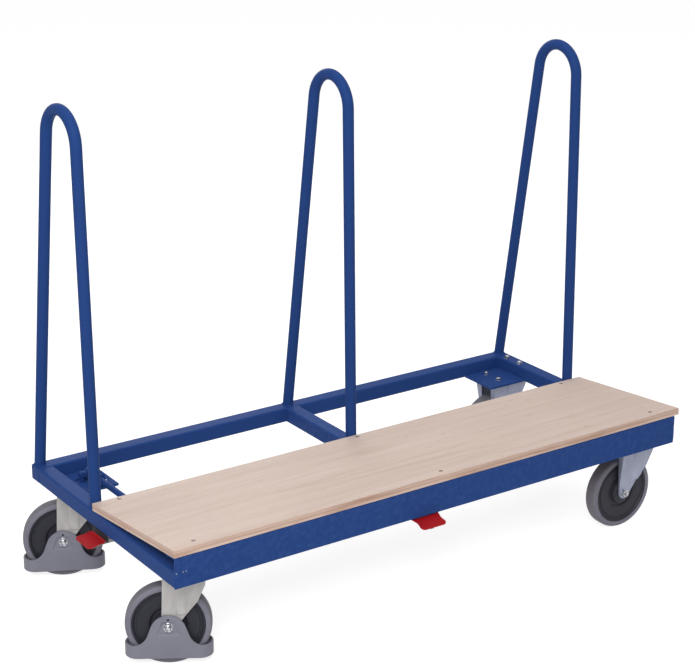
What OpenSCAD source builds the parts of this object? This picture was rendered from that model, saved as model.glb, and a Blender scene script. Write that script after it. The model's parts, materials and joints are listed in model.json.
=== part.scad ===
// One-sided board trolley on four castors with a central brake.
// A welded base frame carries a sloping plywood deck and three leaning tube hoops.
// Millimetres. X runs to the right along the length, Y to the rear, Z up.
// The origin lies on the floor under the middle of the base frame.

/* [Base frame] */
// length over the two end rails
frame_l = 1500; // [1300:10:1700]
// width over the front rail and the rear rail
frame_w = 720; // [690:10:800]
// outside size of the square rail tube
rail = 40; // [38:1:44]
// wall of the rail tube
rail_t = 3; // [2:0.5:3]
// outside corner radius of the rail tube
rail_r = 4.5; // [4:0.5:7]
// height of the folded front rail
front_h = 76; // [66:1:86]
// sheet thickness of the front rail
front_t = 3; // [2:0.5:4]
// width of the front rail's top flange
front_flange = 40; // [34:1:60]
// width of the flat tube that carries the deck's rear edge
bearer_w = 60; // [58:1:64]
// rim of the bearer left behind the hoop legs
bearer_rim = 6; // [4:1:8]
// thickness of the castor mounting plates
mount_t = 6; // [4:0.5:8]
// length of a mounting plate beyond its end rail
mount_l = 120; // [112:1:140]
// width of a mounting plate from the frame's long side
mount_w = 158; // [154:1:170]
// thickness of the plates that close the rear rail
cap_t = 3; // [2:0.5:5]

/* [Deck] */
// depth of the plywood deck along its slope
deck_d = 390; // [380:1:400]
// thickness of the deck
deck_t = 18; // [15:1:22]
// deck beyond the right end rail
deck_over = 14; // [0:1:30]
// distance of the outer deck screws from the frame's ends
screw_in = 64; // [52:1:70]
// distance of the front screws from the deck's front edge
screw_edge = 26; // [20:1:28]
// distance of the rear screws from the deck's rear edge
screw_back = 14; // [12:1:16]
// shank diameter of a deck screw
screw_d = 6; // [5:0.5:6]
// head diameter of a deck screw
screw_head_d = 12; // [11:0.5:13]
// height of the countersunk head
screw_head_h = 3.5; // [3:0.5:4]
// depth of the screw heads below the deck's face
screw_sink = 0.5; // [0.2:0.1:1]
// length of a deck screw
screw_l = 30; // [28:1:34]

/* [Hoops] */
// tube diameter of the hoops
hoop_d = 28; // [25:1:30]
// wall of the hoop tube
hoop_t = 2.5; // [2:0.5:4]
// height of the hoops above the floor
hoop_top = 1232; // [1000:2:1500]
// centreline radius of the bend
hoop_bend = 75; // [65:1:85]
// thinning of the tube wall in the bend, on each face
hoop_draw = 0.05; // [0.03:0.01:0.1]
// backward lean of the front legs in degrees
hoop_lean = 1.7; // [1:0.1:3]
// distance of the outer hoops' middle from the frame's ends
hoop_in = 17; // [16:0.5:19]
// distance of the rear legs' middle from the frame's rear face
hoop_back = 16; // [16:0.5:18]
// gap between the deck's rear edge and the hoops' front legs
hoop_gap = 1; // [0.5:0.5:3]

/* [Wheels] */
// diameter of the wheels
wheel_d = 200; // [190:1:210]
// width of the tyre
tyre_w = 38; // [36:1:39]
// shoulder radius of the tyre
tyre_r = 7; // [6:0.5:7]
// depth of the tyre
tyre_h = 15; // [15:1:18]
// width of the wheel core's rim
rim_w = 34; // [32:0.5:35]
// depth of the rim's lip
rim_h = 7; // [5:0.5:9]
// thickness of the core's disc
disc_w = 23; // [18:1:25]
// radius of the raised ring on the disc
ring_r = 48; // [44:1:52]
// width of the raised ring
ring_w = 5; // [3:0.5:7]
// height of the raised ring
ring_h = 2; // [1:0.5:3]
// diameter of the hub
hub_d = 54; // [48:1:60]
// length of the hub
hub_w = 41; // [40:0.5:41.5]
// outside diameter of a wheel bearing
bearing_d = 28; // [26:0.5:32]
// width of a wheel bearing
bearing_w = 10; // [8:0.5:12]

/* [Castor forks] */
// sheet thickness of the forks
fork_t = 3; // [2.5:0.1:3.2]
// distance of the fork's flanges from the wheel's middle plane
fork_in = 21.3; // [21:0.1:21.6]
// distance of the fork's outer face from the wheel's middle plane at the axle
fork_web = 26.5; // [26:0.1:27.5]
// flat height of the fork above the axle
fork_flat = 30; // [29.5:0.5:36]
// outward flare of the fork at the swivel crown
fork_flare = 18; // [14:0.5:19]
// radius of the fork's eye
fork_eye = 16; // [14.5:0.5:17]
// distance of the fork's front knee before the axle
knee_x = 68; // [64:1:72]
// height of the knee above the axle
knee_z = 66; // [60:1:70]
// distance of the fork's upper corner below the crown
brow_h = 20; // [14:1:26]
// backward lean of a swivel fork's rear edge in degrees
swivel_lean = -2.5; // [-4:0.5:0]
// backward lean of a fixed fork's rear edge in degrees
fixed_lean = 4; // [0:0.5:5]
// thickness of the fork's crown
crown_t = 6; // [5:0.5:7]
// room between tyre and swivel crown
crown_gap = 26; // [24:0.5:27]
// radius of the pressed rib on a fork leg
rib_r = 10; // [8:0.5:12]
// height of the pressed rib
rib_h = 3; // [2:0.5:4]
// distance of the rib before the axle on a swivel fork
rib_x = 25; // [22:1:30]
// distance of the rib before the axle on a fixed fork
rib_fixed_x = 46; // [40:1:50]
// diameter of the axle bolts
axle_d = 12; // [10:0.5:12]
// width across flats of the axle nuts
axle_nut = 19; // [17:0.5:21]
// height of the axle nuts
axle_nut_h = 7.5; // [7:0.5:9]
// washer diameter at the axle
axle_washer_d = 25; // [23:0.5:26]
// washer thickness
washer_t = 1.5; // [1:0.5:2]
// axle end beyond the nut
axle_tip = 3; // [2:0.5:4]
// diameter of the spacers beside the hub
spacer_d = 18; // [16:0.5:20]

/* [Swivel castors] */
// trail of the swivel castors
trail = 52; // [50:1:54]
// resting swivel angle of the front castor in degrees
front_swivel_angle = -32; // [-60:1:60]
// resting swivel angle of the rear castor in degrees
rear_swivel_angle = -27; // [-60:1:60]
// distance of the swivel axes from the left end
swivel_in = 92; // [90:1:96]
// distance of all castors from the frame's long sides
castor_in = 93; // [91:1:96]
// size of the square swivel plate
plate_w = 110; // [106:1:116]
// thickness of the swivel plate
plate_t = 5; // [4:0.5:6]
// corner radius of the swivel plate
plate_r = 8; // [5:0.5:12]
// bolt spacing of the swivel plate
plate_holes = 80; // [78:1:82]
// radius of the swivel head
cup_r = 34; // [32:0.5:36]
// height of the swivel head
cup_h = 8; // [7:0.5:9]
// kingpin diameter
pin_d = 20; // [19:0.5:22]
// diameter of the kingpin's flange
pin_flange_d = 28; // [26:1:30]
// thickness of the kingpin's flange
pin_flange_t = 3; // [2:0.5:4]
// width across flats of the kingpin's nut
pin_nut = 27; // [26:0.5:30]
// height of the kingpin's nut
pin_nut_h = 5.7; // [5:0.1:6]
// bolt diameter at the castors
bolt_d = 8; // [7:0.5:8]
// width across flats of castor bolts and nuts
bolt_nut = 13; // [12:0.5:13]
// height of a castor bolt's head
bolt_head_h = 5.3; // [5:0.1:6]
// height of a castor nut
bolt_nut_h = 6.5; // [6:0.5:7]
// bolt end beyond its nut
bolt_tip = 2; // [1:0.5:2.5]
// distance of a fixed castor's bolts from the crown's edges
bolt_edge = 13; // [12:0.5:14]
// distance of the fixed castors' axles from the right end
fixed_in = 100; // [98:1:102]
// bolt spacing across a fixed castor
fixed_holes = 56; // [52:1:60]

/* [Foot guards] */
// wall of the foot guards
guard_t = 4.5; // [4:0.5:6]
// height of the guard's lower edge above the floor
guard_low = 20; // [16:1:22]
// height of the guard band's upper edge above the floor
guard_high = 56; // [50:1:60]
// room between tyre and guard along the band
guard_room = 7; // [6:0.5:10]
// height of the guard's round top above the axle
dome_h = 29; // [27:0.5:30]
// radius of the round top
dome_r = 34.5; // [32:0.5:36]
// slope of the bell's flanks in degrees
flank_angle = 62; // [60:0.5:64]
// half width of the guard's bell at the band
bell_w = 82; // [80:1:84]
// depth of the shallow panel round the axle nut
panel_h = 2; // [1:0.1:2.5]
// upper half width of the panel
panel_top = 15; // [14:0.5:16]
// lower half width of the panel
panel_low = 34; // [30:1:38]
// height of the panel's upper edge above the axle
panel_up = 14; // [13:0.5:15]
// depth of the panel's lower edge below the axle
panel_down = 26; // [20:1:30]
// diameter of the small hole above the axle nut
eyelet_d = 5; // [3:0.5:6]
// height of that hole above the axle
eyelet_z = 19.5; // [19:0.5:21]

/* [Central brake] */
// diameter of the brake shafts
shaft_d = 16; // [14:0.5:16]
// height of the shafts above the frame's underside
shaft_up = 23; // [22.5:0.5:24]
// lever of the brake cams
cam_arm = 22; // [20:0.5:23]
// nose radius of the cams
cam_nose = 7; // [6:0.5:8]
// width of the cams
cam_w = 14; // [10:1:18]
// height of a cam's bar
cam_bar = 11; // [9:0.5:13]
// hub diameter of cams, cranks and pedal arms
lever_hub = 28; // [26:0.5:28]
// length of a pedal arm's hub
hub_l = 20; // [16:1:20]
// shaft end beyond the cams
shaft_tip = 15; // [12:1:20]
// diameter of the brake plungers
plunger_d = 12; // [10:0.5:12]
// diameter of the brake shoes
shoe_d = 28; // [24:0.5:30]
// depth of the plunger in its shoe
shoe_socket = 4; // [3:0.5:4]
// room between kingpin nut and shoe
shoe_gap = 3; // [2:0.5:3]
// room between shoe and tyre at rest
shoe_room = 5.8; // [5.5:0.1:6.5]
// distance of the front pedal's shaft behind the front face
front_shaft_in = 70; // [68:1:74]
// equal cranks that join the two shafts
link_arm = 60; // [56:1:64]
// thickness of the cranks
link_t = 8; // [6:0.5:10]
// height of a crank's bar
link_bar = 14; // [10:0.5:16]
// diameter of the joining pin
link_pin = 10; // [8:0.5:10]
// height of the forked end
link_fork_h = 28; // [26:0.5:30]
// half length of the forked end
link_fork_l = 14; // [12:0.5:16]
// thickness of the shaft brackets
bracket_t = 6; // [4:0.5:8]
// rim of a bracket round its bore
bracket_rim = 7; // [5:0.5:8]
// distance of a bracket's middle from its mounting plate's inner edge
bracket_in = 12; // [9:1:14]
// distance of a front shaft bracket from the crank and the pedal
bracket_step = 46; // [40:1:60]

/* [Pedals] */
// place of the front pedal along the frame, from its middle
front_pedal_x = -62; // [-120:1:-60]
// distance of the end pedal's middle in front of the deck bearer
end_pedal_in = 3; // [2:0.5:6]
// offset of the end pedal's arm from the pedal's middle
end_arm_off = 14; // [14:0.5:18]
// gap under the left end rail above the end pedal
end_pedal_gap = 14.5; // [13:0.5:16]
// gap under the front rail above the front pedal
front_pedal_gap = 2; // [1:0.5:4]
// thickness of a pedal arm
arm_t = 10; // [8:0.5:12]
// height of a pedal arm's bar
arm_bar = 10; // [8:0.5:12]
// length of a pedal arm under its pedal
arm_tip = 25; // [20:1:30]
// width of the pedals
pedal_w = 78; // [70:1:86]
// thickness of the pedals
pedal_t = 5; // [4:0.5:6]
// reach of the end pedal beyond the rail
end_pedal_l = 46; // [40:1:52]
// reach of the front pedal beyond the rail
front_pedal_l = 34; // [32:1:40]
// drop of the end pedal towards its tip
end_pedal_drop = 7; // [4:0.5:10]
// drop of the front pedal towards its tip
front_pedal_drop = 11; // [8:0.5:14]
// length of a pedal under the rail
pedal_tab = 2; // [1:0.5:3]
// corner radius of a pedal's tip
pedal_r = 10; // [8:0.5:12]
// waist radius of a pedal
waist_r = 20; // [18:1:24]
// waist depth of a pedal
waist = 5; // [4:0.5:6]

/* [Clearances] */
// radial clearance of running fits
run_fit = 0.05; // [0.02:0.01:0.08]
// radial clearance of bolt and screw holes
hole_fit = 0.4; // [0.3:0.1:0.6]
// gap between parts that move past each other
move_gap = 0.3; // [0.3:0.05:0.5]
// clearance of the joining pin in its fork
link_fit = 2; // [1.8:0.1:2.2]
// clearance round the brake shaft where it crosses the bearer
cross_fit = 3; // [2.5:0.5:3.5]
// clearance round the kingpin flange in the mounting plate
flange_fit = 3; // [2:0.5:4]

/* [Hidden] */
$fn = 64;
over = 1;
wheel_r = wheel_d / 2;
frame_z = wheel_d + crown_gap + crown_t + cup_h + plate_t;
frame_top = frame_z + rail;
front_z = frame_z + front_h;
slope = asin((front_h - rail) / deck_d);
left = -frame_l / 2;
right = frame_l / 2;
front = -frame_w / 2;
back = frame_w / 2;
hoop_front = front + deck_d * cos(slope) + deck_t * sin(slope) + hoop_gap + hoop_d / 2;
bearer_y = hoop_front + hoop_d / 2 + bearer_rim - bearer_w / 2;
castor_y = frame_w / 2 - castor_in;
swivel_x = left + swivel_in;
fork_front = trail + cup_r;
swivel_top = wheel_r + crown_gap + crown_t;
fixed_top = frame_z - wheel_r;
flare_rate = fork_flare / (swivel_top - fork_flat);
flare_angle = atan(flare_rate);
fixed_bolts = [bolt_edge - fork_eye, fork_front - bolt_edge];
fixed_x = right - fixed_in;
shaft_z = frame_z + shaft_up;
brake_x = swivel_x + cam_arm;
front_shaft_y = front + front_shaft_in;
link_y = front_shaft_y + link_arm;
link_x = brake_x + link_arm;
shoe_top = wheel_d + crown_gap - move_gap - pin_nut_h - shoe_gap;
end_pedal_y = bearer_y - bearer_w / 2 - end_pedal_in;
end_reach = swivel_in + cam_arm;
hoop_zc = hoop_top - hoop_d / 2 - hoop_bend;
hoop_dz = hoop_zc - frame_top;
hoop_yc = hoop_front + hoop_dz * tan(hoop_lean) + hoop_bend / cos(hoop_lean);
hoop_yr = back - hoop_back;
hoop_dy = hoop_yr - hoop_yc;
hoop_span = sqrt(hoop_dy * hoop_dy + hoop_dz * hoop_dz);
hoop_tilt = acos(hoop_bend / hoop_span) - atan2(hoop_dz, hoop_dy);
hoop_xs = [left + hoop_in, 0, right - hoop_in];
screw_xs = [left + screw_in, 0, right - screw_in];
screw_ys = [screw_edge, deck_d - screw_back];
guard_drop = wheel_r - guard_high;
guard_half = sqrt(wheel_r * wheel_r - guard_drop * guard_drop) + guard_room;
flank_x = dome_r * sin(flank_angle);
flank_z = dome_h - dome_r * (1 - cos(flank_angle));
foot_r = (tan(flank_angle) * (bell_w - flank_x) - flank_z - guard_drop) / (1 / cos(flank_angle) - 1);
bell_steps = 8;
waist_share = 0.4;
swivel_angles = [front_swivel_angle, rear_swivel_angle];
corner = ["fl", "rl", "fr", "rr"];

// Helpers

// side of a corner across the frame, front or rear
function side(i) = i % 2 == 0 ? -1 : 1;

// height of the deck's underside at a place across the frame
function deck_under(y) = front_z - (y - front) * tan(slope);

// half width of a fork's outer face at a height above the axle
function fork_half(z) = fork_web + max(z - fork_flat, 0) * flare_rate;

// depth of a pedal's underside below its shaft
function pedal_low(gap) = shaft_up + gap + pedal_t;

// angle at which the fork's lower edge leaves the eye
function eye_angle(r, x) = atan2(knee_z, x) - acos(r / sqrt(x * x + knee_z * knee_z));

// turns a section drawn in plan so that it runs along X, its first axis across and its second up
module along_x() {
    rotate([90, 0, 90])
        children();
}

// turns a section drawn in plan so that it runs along Y, its second axis up
module along_y() {
    rotate([90, 0, 0])
        children();
}

module round_rect(w, h, r) {
    square([w - 2 * r, h], center = true);
    square([w, h - 2 * r], center = true);
    for (i = [-1, 1], j = [-1, 1])
        translate([i * (w / 2 - r), j * (h / 2 - r)])
            circle(r = r);
}

module tube_section(w, h) {
    difference() {
        round_rect(w, h, rail_r);
        round_rect(w - 2 * rail_t, h - 2 * rail_t, rail_r - rail_t);
    }
}

module hex(flats, h) {
    cylinder(r = flats / 2 / cos(30), h = h, $fn = 6);
}

module at_swivel(i) {
    translate([swivel_x, side(i) * castor_y, 0])
        rotate([0, 0, swivel_angles[i]])
            children();
}

module at_wheel(i) {
    if (i < 2)
        at_swivel(i)
            translate([-trail, 0, wheel_r])
                children();
    else
        translate([fixed_x, side(i) * castor_y, wheel_r])
            children();
}

module at_deck() {
    translate([left, front, front_z])
        rotate([-slope, 0, 0])
            children();
}

module at_screws() {
    at_deck()
        for (x = screw_xs, y = screw_ys)
            translate([x - left, y, 0])
                children();
}

// bolt places of a swivel castor
module at_plate_bolts() {
    for (x = [-1, 1], y = [-1, 1])
        translate([x * plate_holes / 2, y * plate_holes / 2, 0])
            children();
}

// bolt places of a fixed castor, first those inside the frame, then those in the end rail
module at_fixed_bolts(i, row) {
    for (y = [-1, 1])
        translate([fixed_x + fixed_bolts[row], side(i) * castor_y + y * fixed_holes / 2, 0])
            children();
}

// Base frame

module front_rail() {
    color("royalblue")
        difference() {
            translate([left, 0, 0])
                along_x()
                    linear_extrude(height = frame_l)
                        polygon([
                            [front, frame_z],
                            [front + front_t, frame_z],
                            [front + front_t, deck_under(front + front_t) - front_t],
                            [front + front_flange, deck_under(front + front_flange) - front_t],
                            [front + front_flange, deck_under(front + front_flange)],
                            [front, front_z]
                        ]);
            at_screws()
                translate([0, 0, -screw_l])
                    cylinder(d = screw_d + 2 * hole_fit, h = screw_l + over);
        }
}

module rear_rail() {
    color("royalblue")
        translate([left, back - rail / 2, frame_z + rail / 2])
            along_x()
                linear_extrude(height = frame_l)
                    tube_section(rail, rail);
}

module rear_rail_caps() {
    color("royalblue")
        for (x = [left, right - cap_t])
            translate([x, back - rail / 2, frame_z + rail / 2])
                along_x()
                    linear_extrude(height = cap_t)
                        round_rect(rail - 2 * rail_t, rail - 2 * rail_t, rail_r - rail_t);
}

// a rail across the frame between two places
module cross_rail(x, y0, y1) {
    translate([x, y1, frame_z + rail / 2])
        along_y()
            linear_extrude(height = y1 - y0)
                tube_section(rail, rail);
}

module left_end_rail() {
    color("royalblue")
        cross_rail(left + rail / 2, front + front_t, back - rail);
}

module right_end_rail() {
    color("royalblue")
        difference() {
            cross_rail(right - rail / 2, front + front_t, back - rail);
            for (i = [2, 3])
                at_fixed_bolts(i, 1)
                    translate([0, 0, frame_z - over])
                        cylinder(d = bolt_d + 2 * hole_fit, h = rail + 2 * over);
        }
}

module deck_bearer() {
    color("royalblue")
        difference() {
            translate([left + rail, bearer_y, frame_z + rail / 2])
                along_x()
                    linear_extrude(height = frame_l - 2 * rail)
                        tube_section(bearer_w, rail);
            translate([brake_x, bearer_y, shaft_z])
                along_y()
                    cylinder(d = shaft_d + 2 * cross_fit, h = bearer_w + 2 * over, center = true);
            at_screws()
                translate([0, 0, -screw_l])
                    cylinder(d = screw_d + 2 * hole_fit, h = screw_l + over);
        }
}

module cross_member_front() {
    color("royalblue")
        cross_rail(0, front + front_t, bearer_y - bearer_w / 2);
}

module cross_member_rear() {
    color("royalblue")
        cross_rail(0, bearer_y + bearer_w / 2, back - rail);
}

module mount_plate(i) {
    x0 = i < 2 ? left + rail : right - rail - mount_l;
    y0 = side(i) < 0 ? front + front_t : back - mount_w;
    w = side(i) < 0 ? mount_w - front_t : mount_w - rail;
    color("royalblue")
        difference() {
            translate([x0, y0, frame_z])
                cube([mount_l, w, mount_t]);
            if (i < 2)
                translate([swivel_x, side(i) * castor_y, frame_z - over]) {
                    cylinder(d = pin_flange_d + 2 * flange_fit, h = mount_t + 2 * over);
                    at_plate_bolts()
                        cylinder(d = bolt_d + 2 * hole_fit, h = mount_t + 2 * over);
                }
            else
                at_fixed_bolts(i, 0)
                    translate([0, 0, frame_z - over])
                        cylinder(d = bolt_d + 2 * hole_fit, h = mount_t + 2 * over);
        }
}

// Hoops

// tube section, its wall thinned on both faces by the draw
module hoop_ring(draw) {
    difference() {
        circle(d = hoop_d - 2 * draw);
        circle(d = hoop_d - 2 * hoop_t + 2 * draw);
    }
}

// place at the bend's centre, drawn in plan and stood up across the frame
module at_bend(turn) {
    along_x()
        translate([hoop_yc, hoop_zc])
            rotate([0, 0, turn])
                children();
}

// straight leg that runs a little into the bend, its foot cut level with the rails
module hoop_leg(turn, reach) {
    intersection() {
        at_bend(turn)
            translate([reach, over, 0])
                rotate([90, 0, 0])
                    linear_extrude(height = hoop_dz + hoop_bend + over)
                        hoop_ring(0);
        translate([-hoop_d, front, frame_top])
            cube([2 * hoop_d, frame_w, hoop_top]);
    }
}

module hoop(x) {
    color("royalblue")
        translate([x, 0, 0]) {
            at_bend(hoop_tilt)
                rotate_extrude(angle = 180 - hoop_lean - hoop_tilt)
                    translate([hoop_bend, 0])
                        hoop_ring(hoop_draw);
            hoop_leg(hoop_tilt, hoop_bend);
            hoop_leg(-hoop_lean, -hoop_bend);
        }
}

// Deck

module deck_panel() {
    color("burlywood")
        difference() {
            at_deck()
                cube([frame_l + deck_over, deck_d, deck_t]);
            at_screws() {
                translate([0, 0, -over])
                    cylinder(d = screw_d + 2 * hole_fit, h = deck_t + 2 * over);
                translate([0, 0, deck_t - screw_sink - screw_head_h])
                    cylinder(d1 = screw_d, d2 = screw_head_d, h = screw_head_h);
                translate([0, 0, deck_t - screw_sink])
                    cylinder(d = screw_head_d, h = screw_sink + over);
            }
        }
}

module deck_screws() {
    color("dimgray")
        at_screws() {
            translate([0, 0, deck_t - screw_sink - screw_l])
                cylinder(d = screw_d, h = screw_l - screw_head_h);
            translate([0, 0, deck_t - screw_sink - screw_head_h])
                cylinder(d1 = screw_d, d2 = screw_head_d, h = screw_head_h);
        }
}

// Castor fastenings

// bolt from below with its nut on top, the head under the lower face
module bolt_set(low, high) {
    translate([0, 0, low - bolt_head_h])
        hex(bolt_nut, bolt_head_h);
    translate([0, 0, low])
        cylinder(d = bolt_d, h = high - low + bolt_nut_h + bolt_tip);
    translate([0, 0, high])
        hex(bolt_nut, bolt_nut_h);
}

module castor_fasteners() {
    color("silver") {
        for (i = [0, 1])
            translate([swivel_x, side(i) * castor_y, 0])
                at_plate_bolts()
                    bolt_set(frame_z - plate_t, frame_z + mount_t);
        for (i = [2, 3]) {
            at_fixed_bolts(i, 0)
                bolt_set(frame_z - crown_t, frame_z + mount_t);
            at_fixed_bolts(i, 1)
                bolt_set(frame_z - crown_t, frame_top);
        }
    }
}

module swivel_plate(i) {
    color("silver")
        translate([swivel_x, side(i) * castor_y, 0])
            difference() {
                union() {
                    translate([0, 0, frame_z - plate_t])
                        linear_extrude(height = plate_t)
                            round_rect(plate_w, plate_w, plate_r);
                    translate([0, 0, frame_z - plate_t - cup_h + move_gap])
                        cylinder(r = cup_r, h = cup_h - move_gap);
                }
                translate([0, 0, frame_z - plate_t - cup_h])
                    cylinder(d = pin_d, h = cup_h + plate_t + over);
                at_plate_bolts()
                    translate([0, 0, frame_z - plate_t - over])
                        cylinder(d = bolt_d + 2 * hole_fit, h = plate_t + 2 * over);
            }
}

module kingpin(i) {
    low = wheel_d + crown_gap - move_gap - pin_nut_h;
    color("gray")
        translate([swivel_x, side(i) * castor_y, 0])
            difference() {
                union() {
                    translate([0, 0, low])
                        hex(pin_nut, pin_nut_h);
                    translate([0, 0, low])
                        cylinder(d = pin_d, h = frame_z - low);
                    translate([0, 0, frame_z])
                        cylinder(d = pin_flange_d, h = pin_flange_t);
                }
                translate([0, 0, low - over])
                    cylinder(d = plunger_d + 2 * run_fit, h = frame_z - low + pin_flange_t + 2 * over);
            }
}

// Forks

// side outline of a fork round its axle with its rear edge leaning, made smaller by the inset
module fork_outline(inset, top, lean) {
    r = fork_eye - inset;
    a = eye_angle(r, knee_x - inset);
    circle(r = r);
    polygon([
        [-r, 0],
        [r * cos(a), r * sin(a)],
        [knee_x - inset, knee_z],
        [fork_front - inset, top - brow_h],
        [fork_front - inset, top],
        [-r - top * tan(lean), top]
    ]);
}

// cross section of one fork leg with its flare, made smaller or larger by the inset
module leg_section(inset, inner, top) {
    polygon([
        [inner, -2 * fork_eye],
        [fork_web - inset, -2 * fork_eye],
        [fork_web - inset, fork_flat],
        [fork_half(top) - inset, top],
        [inner, top]
    ]);
}

module fork_leg(top, rib, lean) {
    difference() {
        union() {
            leg_block(0, fork_in, top, lean);
            intersection() {
                leg_block(-rib_h, fork_in, top, lean);
                translate([rib, fork_web + rib_h, fork_flat])
                    rotate([-flare_angle, 0, 0])
                        translate([0, -rib_r, 0])
                            cylinder(r = rib_r, h = 2 * top);
            }
        }
        intersection() {
            translate([0, 0, -over])
                leg_prism(fork_t, fork_in - over, top);
            along_y()
                linear_extrude(height = 2 * top, center = true)
                    fork_outline(fork_t, top - crown_t, lean);
        }
    }
}

module leg_prism(inset, inner, top) {
    translate([-2 * fork_eye, 0, 0])
        along_x()
            linear_extrude(height = 2 * fork_eye + 2 * fork_front)
                leg_section(inset, inner, top);
}

module leg_block(inset, inner, top, lean) {
    intersection() {
        leg_prism(inset, inner, top);
        along_y()
            linear_extrude(height = 2 * top, center = true)
                fork_outline(0, top, lean);
    }
}

module fork_crown(top, lean) {
    intersection() {
        along_y()
            linear_extrude(height = 2 * (fork_in + over), center = true)
                fork_outline(0, top, lean);
        translate([-fork_front, -fork_front, top - crown_t])
            cube([3 * fork_front, 2 * fork_front, crown_t]);
    }
}

// fork with its axle at the origin and its crown at the top
module fork(top, rib, lean) {
    difference() {
        union() {
            fork_leg(top, rib, lean);
            mirror([0, 1, 0])
                fork_leg(top, rib, lean);
            fork_crown(top, lean);
        }
        along_y()
            cylinder(d = axle_d + 2 * run_fit, h = 2 * top, center = true);
    }
}

module swivel_fork(i) {
    color("lightgray")
        at_swivel(i)
            difference() {
                translate([-trail, 0, wheel_r])
                    fork(swivel_top, rib_x, swivel_lean);
                translate([0, 0, wheel_d])
                    cylinder(d = pin_d + 2 * run_fit, h = 2 * crown_gap);
            }
}

module fixed_fork(i) {
    color("lightgray")
        difference() {
            at_wheel(i)
                fork(fixed_top, rib_fixed_x, fixed_lean);
            for (row = [0, 1])
                at_fixed_bolts(i, row)
                    translate([0, 0, frame_z - crown_t - over])
                        cylinder(d = bolt_d + 2 * hole_fit, h = crown_t + 2 * over);
        }
}

// axle bolt along Y with head at the rear, nut at the front and a spacer at each side of the hub
module axle(seat_nut, seat_head) {
    color("silver") {
        along_y()
            translate([0, 0, -seat_head - washer_t])
                cylinder(d = axle_d, h = seat_head + seat_nut + 2 * washer_t + axle_nut_h + axle_tip);
        along_y()
            translate([0, 0, seat_nut]) {
                cylinder(d = axle_washer_d, h = washer_t);
                translate([0, 0, washer_t])
                    hex(axle_nut, axle_nut_h);
            }
        along_y()
            translate([0, 0, -seat_head - washer_t]) {
                cylinder(d = axle_washer_d, h = washer_t);
                mirror([0, 0, 1])
                    hex(axle_nut, axle_nut_h);
            }
        for (s = [0, 1])
            mirror([0, s, 0])
                translate([0, fork_web - fork_t, 0])
                    along_y()
                        cylinder(d = spacer_d, h = fork_web - fork_t - hub_w / 2 - move_gap);
    }
}

// Wheels

module tyre() {
    color("gray")
        along_y()
            rotate_extrude() {
                translate([wheel_r - tyre_h, -tyre_w / 2])
                    square([tyre_h - tyre_r, tyre_w]);
                translate([wheel_r - tyre_h, -tyre_w / 2 + tyre_r])
                    square([tyre_h, tyre_w - 2 * tyre_r]);
                for (s = [-1, 1])
                    translate([wheel_r - tyre_r, s * (tyre_w / 2 - tyre_r)])
                        circle(r = tyre_r);
            }
}

module wheel_core() {
    rim_r = wheel_r - tyre_h;
    color("darkslategray")
        along_y()
            difference() {
                union() {
                    difference() {
                        cylinder(r = rim_r, h = rim_w, center = true);
                        cylinder(r = rim_r - rim_h, h = rim_w + over, center = true);
                    }
                    cylinder(r = rim_r - rim_h / 2, h = disc_w, center = true);
                    difference() {
                        cylinder(r = ring_r + ring_w / 2, h = disc_w + 2 * ring_h, center = true);
                        cylinder(r = ring_r - ring_w / 2, h = disc_w + 3 * ring_h, center = true);
                    }
                    cylinder(d = hub_d, h = hub_w, center = true);
                }
                cylinder(d = spacer_d, h = hub_w + over, center = true);
                for (s = [0, 1])
                    mirror([0, 0, s])
                        translate([0, 0, hub_w / 2 - bearing_w])
                            cylinder(d = bearing_d, h = bearing_w + over);
            }
}

module wheel_bearings() {
    color("silver")
        along_y()
            for (s = [0, 1])
                mirror([0, 0, s])
                    translate([0, 0, hub_w / 2 - bearing_w])
                        difference() {
                            cylinder(d = bearing_d, h = bearing_w);
                            translate([0, 0, -over])
                                cylinder(d = axle_d + 2 * run_fit, h = bearing_w + 2 * over);
                        }
}

// Foot guards

// rounded-end loop round the wheel's foot, seen from above
module stadium(half, w) {
    square([2 * (half - w), 2 * w], center = true);
    for (s = [-1, 1])
        translate([s * (half - w), 0])
            circle(r = w);
}

// side of the guard: a round top, straight flanks and hollow feet that run into the band
module bell() {
    dome = [for (k = [0 : bell_steps]) let (a = flank_angle * k / bell_steps)
        [dome_r * sin(a), dome_h - dome_r * (1 - cos(a))]];
    foot = [for (k = [bell_steps : -1 : 0]) let (a = flank_angle * k / bell_steps)
        [bell_w - foot_r * sin(a), foot_r * (1 - cos(a)) - guard_drop]];
    half = concat(dome, foot, [[bell_w, guard_low - wheel_r]]);
    polygon(concat(half, [for (k = [len(half) - 1 : -1 : 1]) [-half[k][0], half[k][1]]]));
}

module foot_guard(i) {
    color("slategray")
        at_swivel(i)
            translate([-trail, 0, wheel_r])
                difference() {
                    union() {
                        translate([0, 0, guard_low - wheel_r])
                            linear_extrude(height = guard_high - guard_low)
                                difference() {
                                    stadium(guard_half + guard_t, fork_web + guard_t);
                                    stadium(guard_half, fork_web);
                                }
                        for (s = [0, 1])
                            mirror([0, s, 0])
                                translate([0, -fork_web, 0])
                                    along_y()
                                        linear_extrude(height = guard_t)
                                            bell();
                    }
                    along_y()
                        cylinder(d = axle_d + 2 * run_fit, h = 4 * fork_web, center = true);
                    translate([0, -fork_web - guard_t + panel_h, 0])
                        along_y()
                            linear_extrude(height = panel_h + over)
                                polygon([
                                    [-panel_top, panel_up],
                                    [panel_top, panel_up],
                                    [panel_low, -panel_down],
                                    [-panel_low, -panel_down]
                                ]);
                    translate([0, 0, eyelet_z])
                        along_y()
                            cylinder(d = eyelet_d, h = 2 * fork_web);
                }
}

// Central brake

module brake_plunger(i) {
    low = shoe_top - shoe_socket;
    color("silver")
        translate([swivel_x, side(i) * castor_y, low])
            cylinder(d = plunger_d, h = shaft_z - cam_nose - move_gap - low);
}

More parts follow.
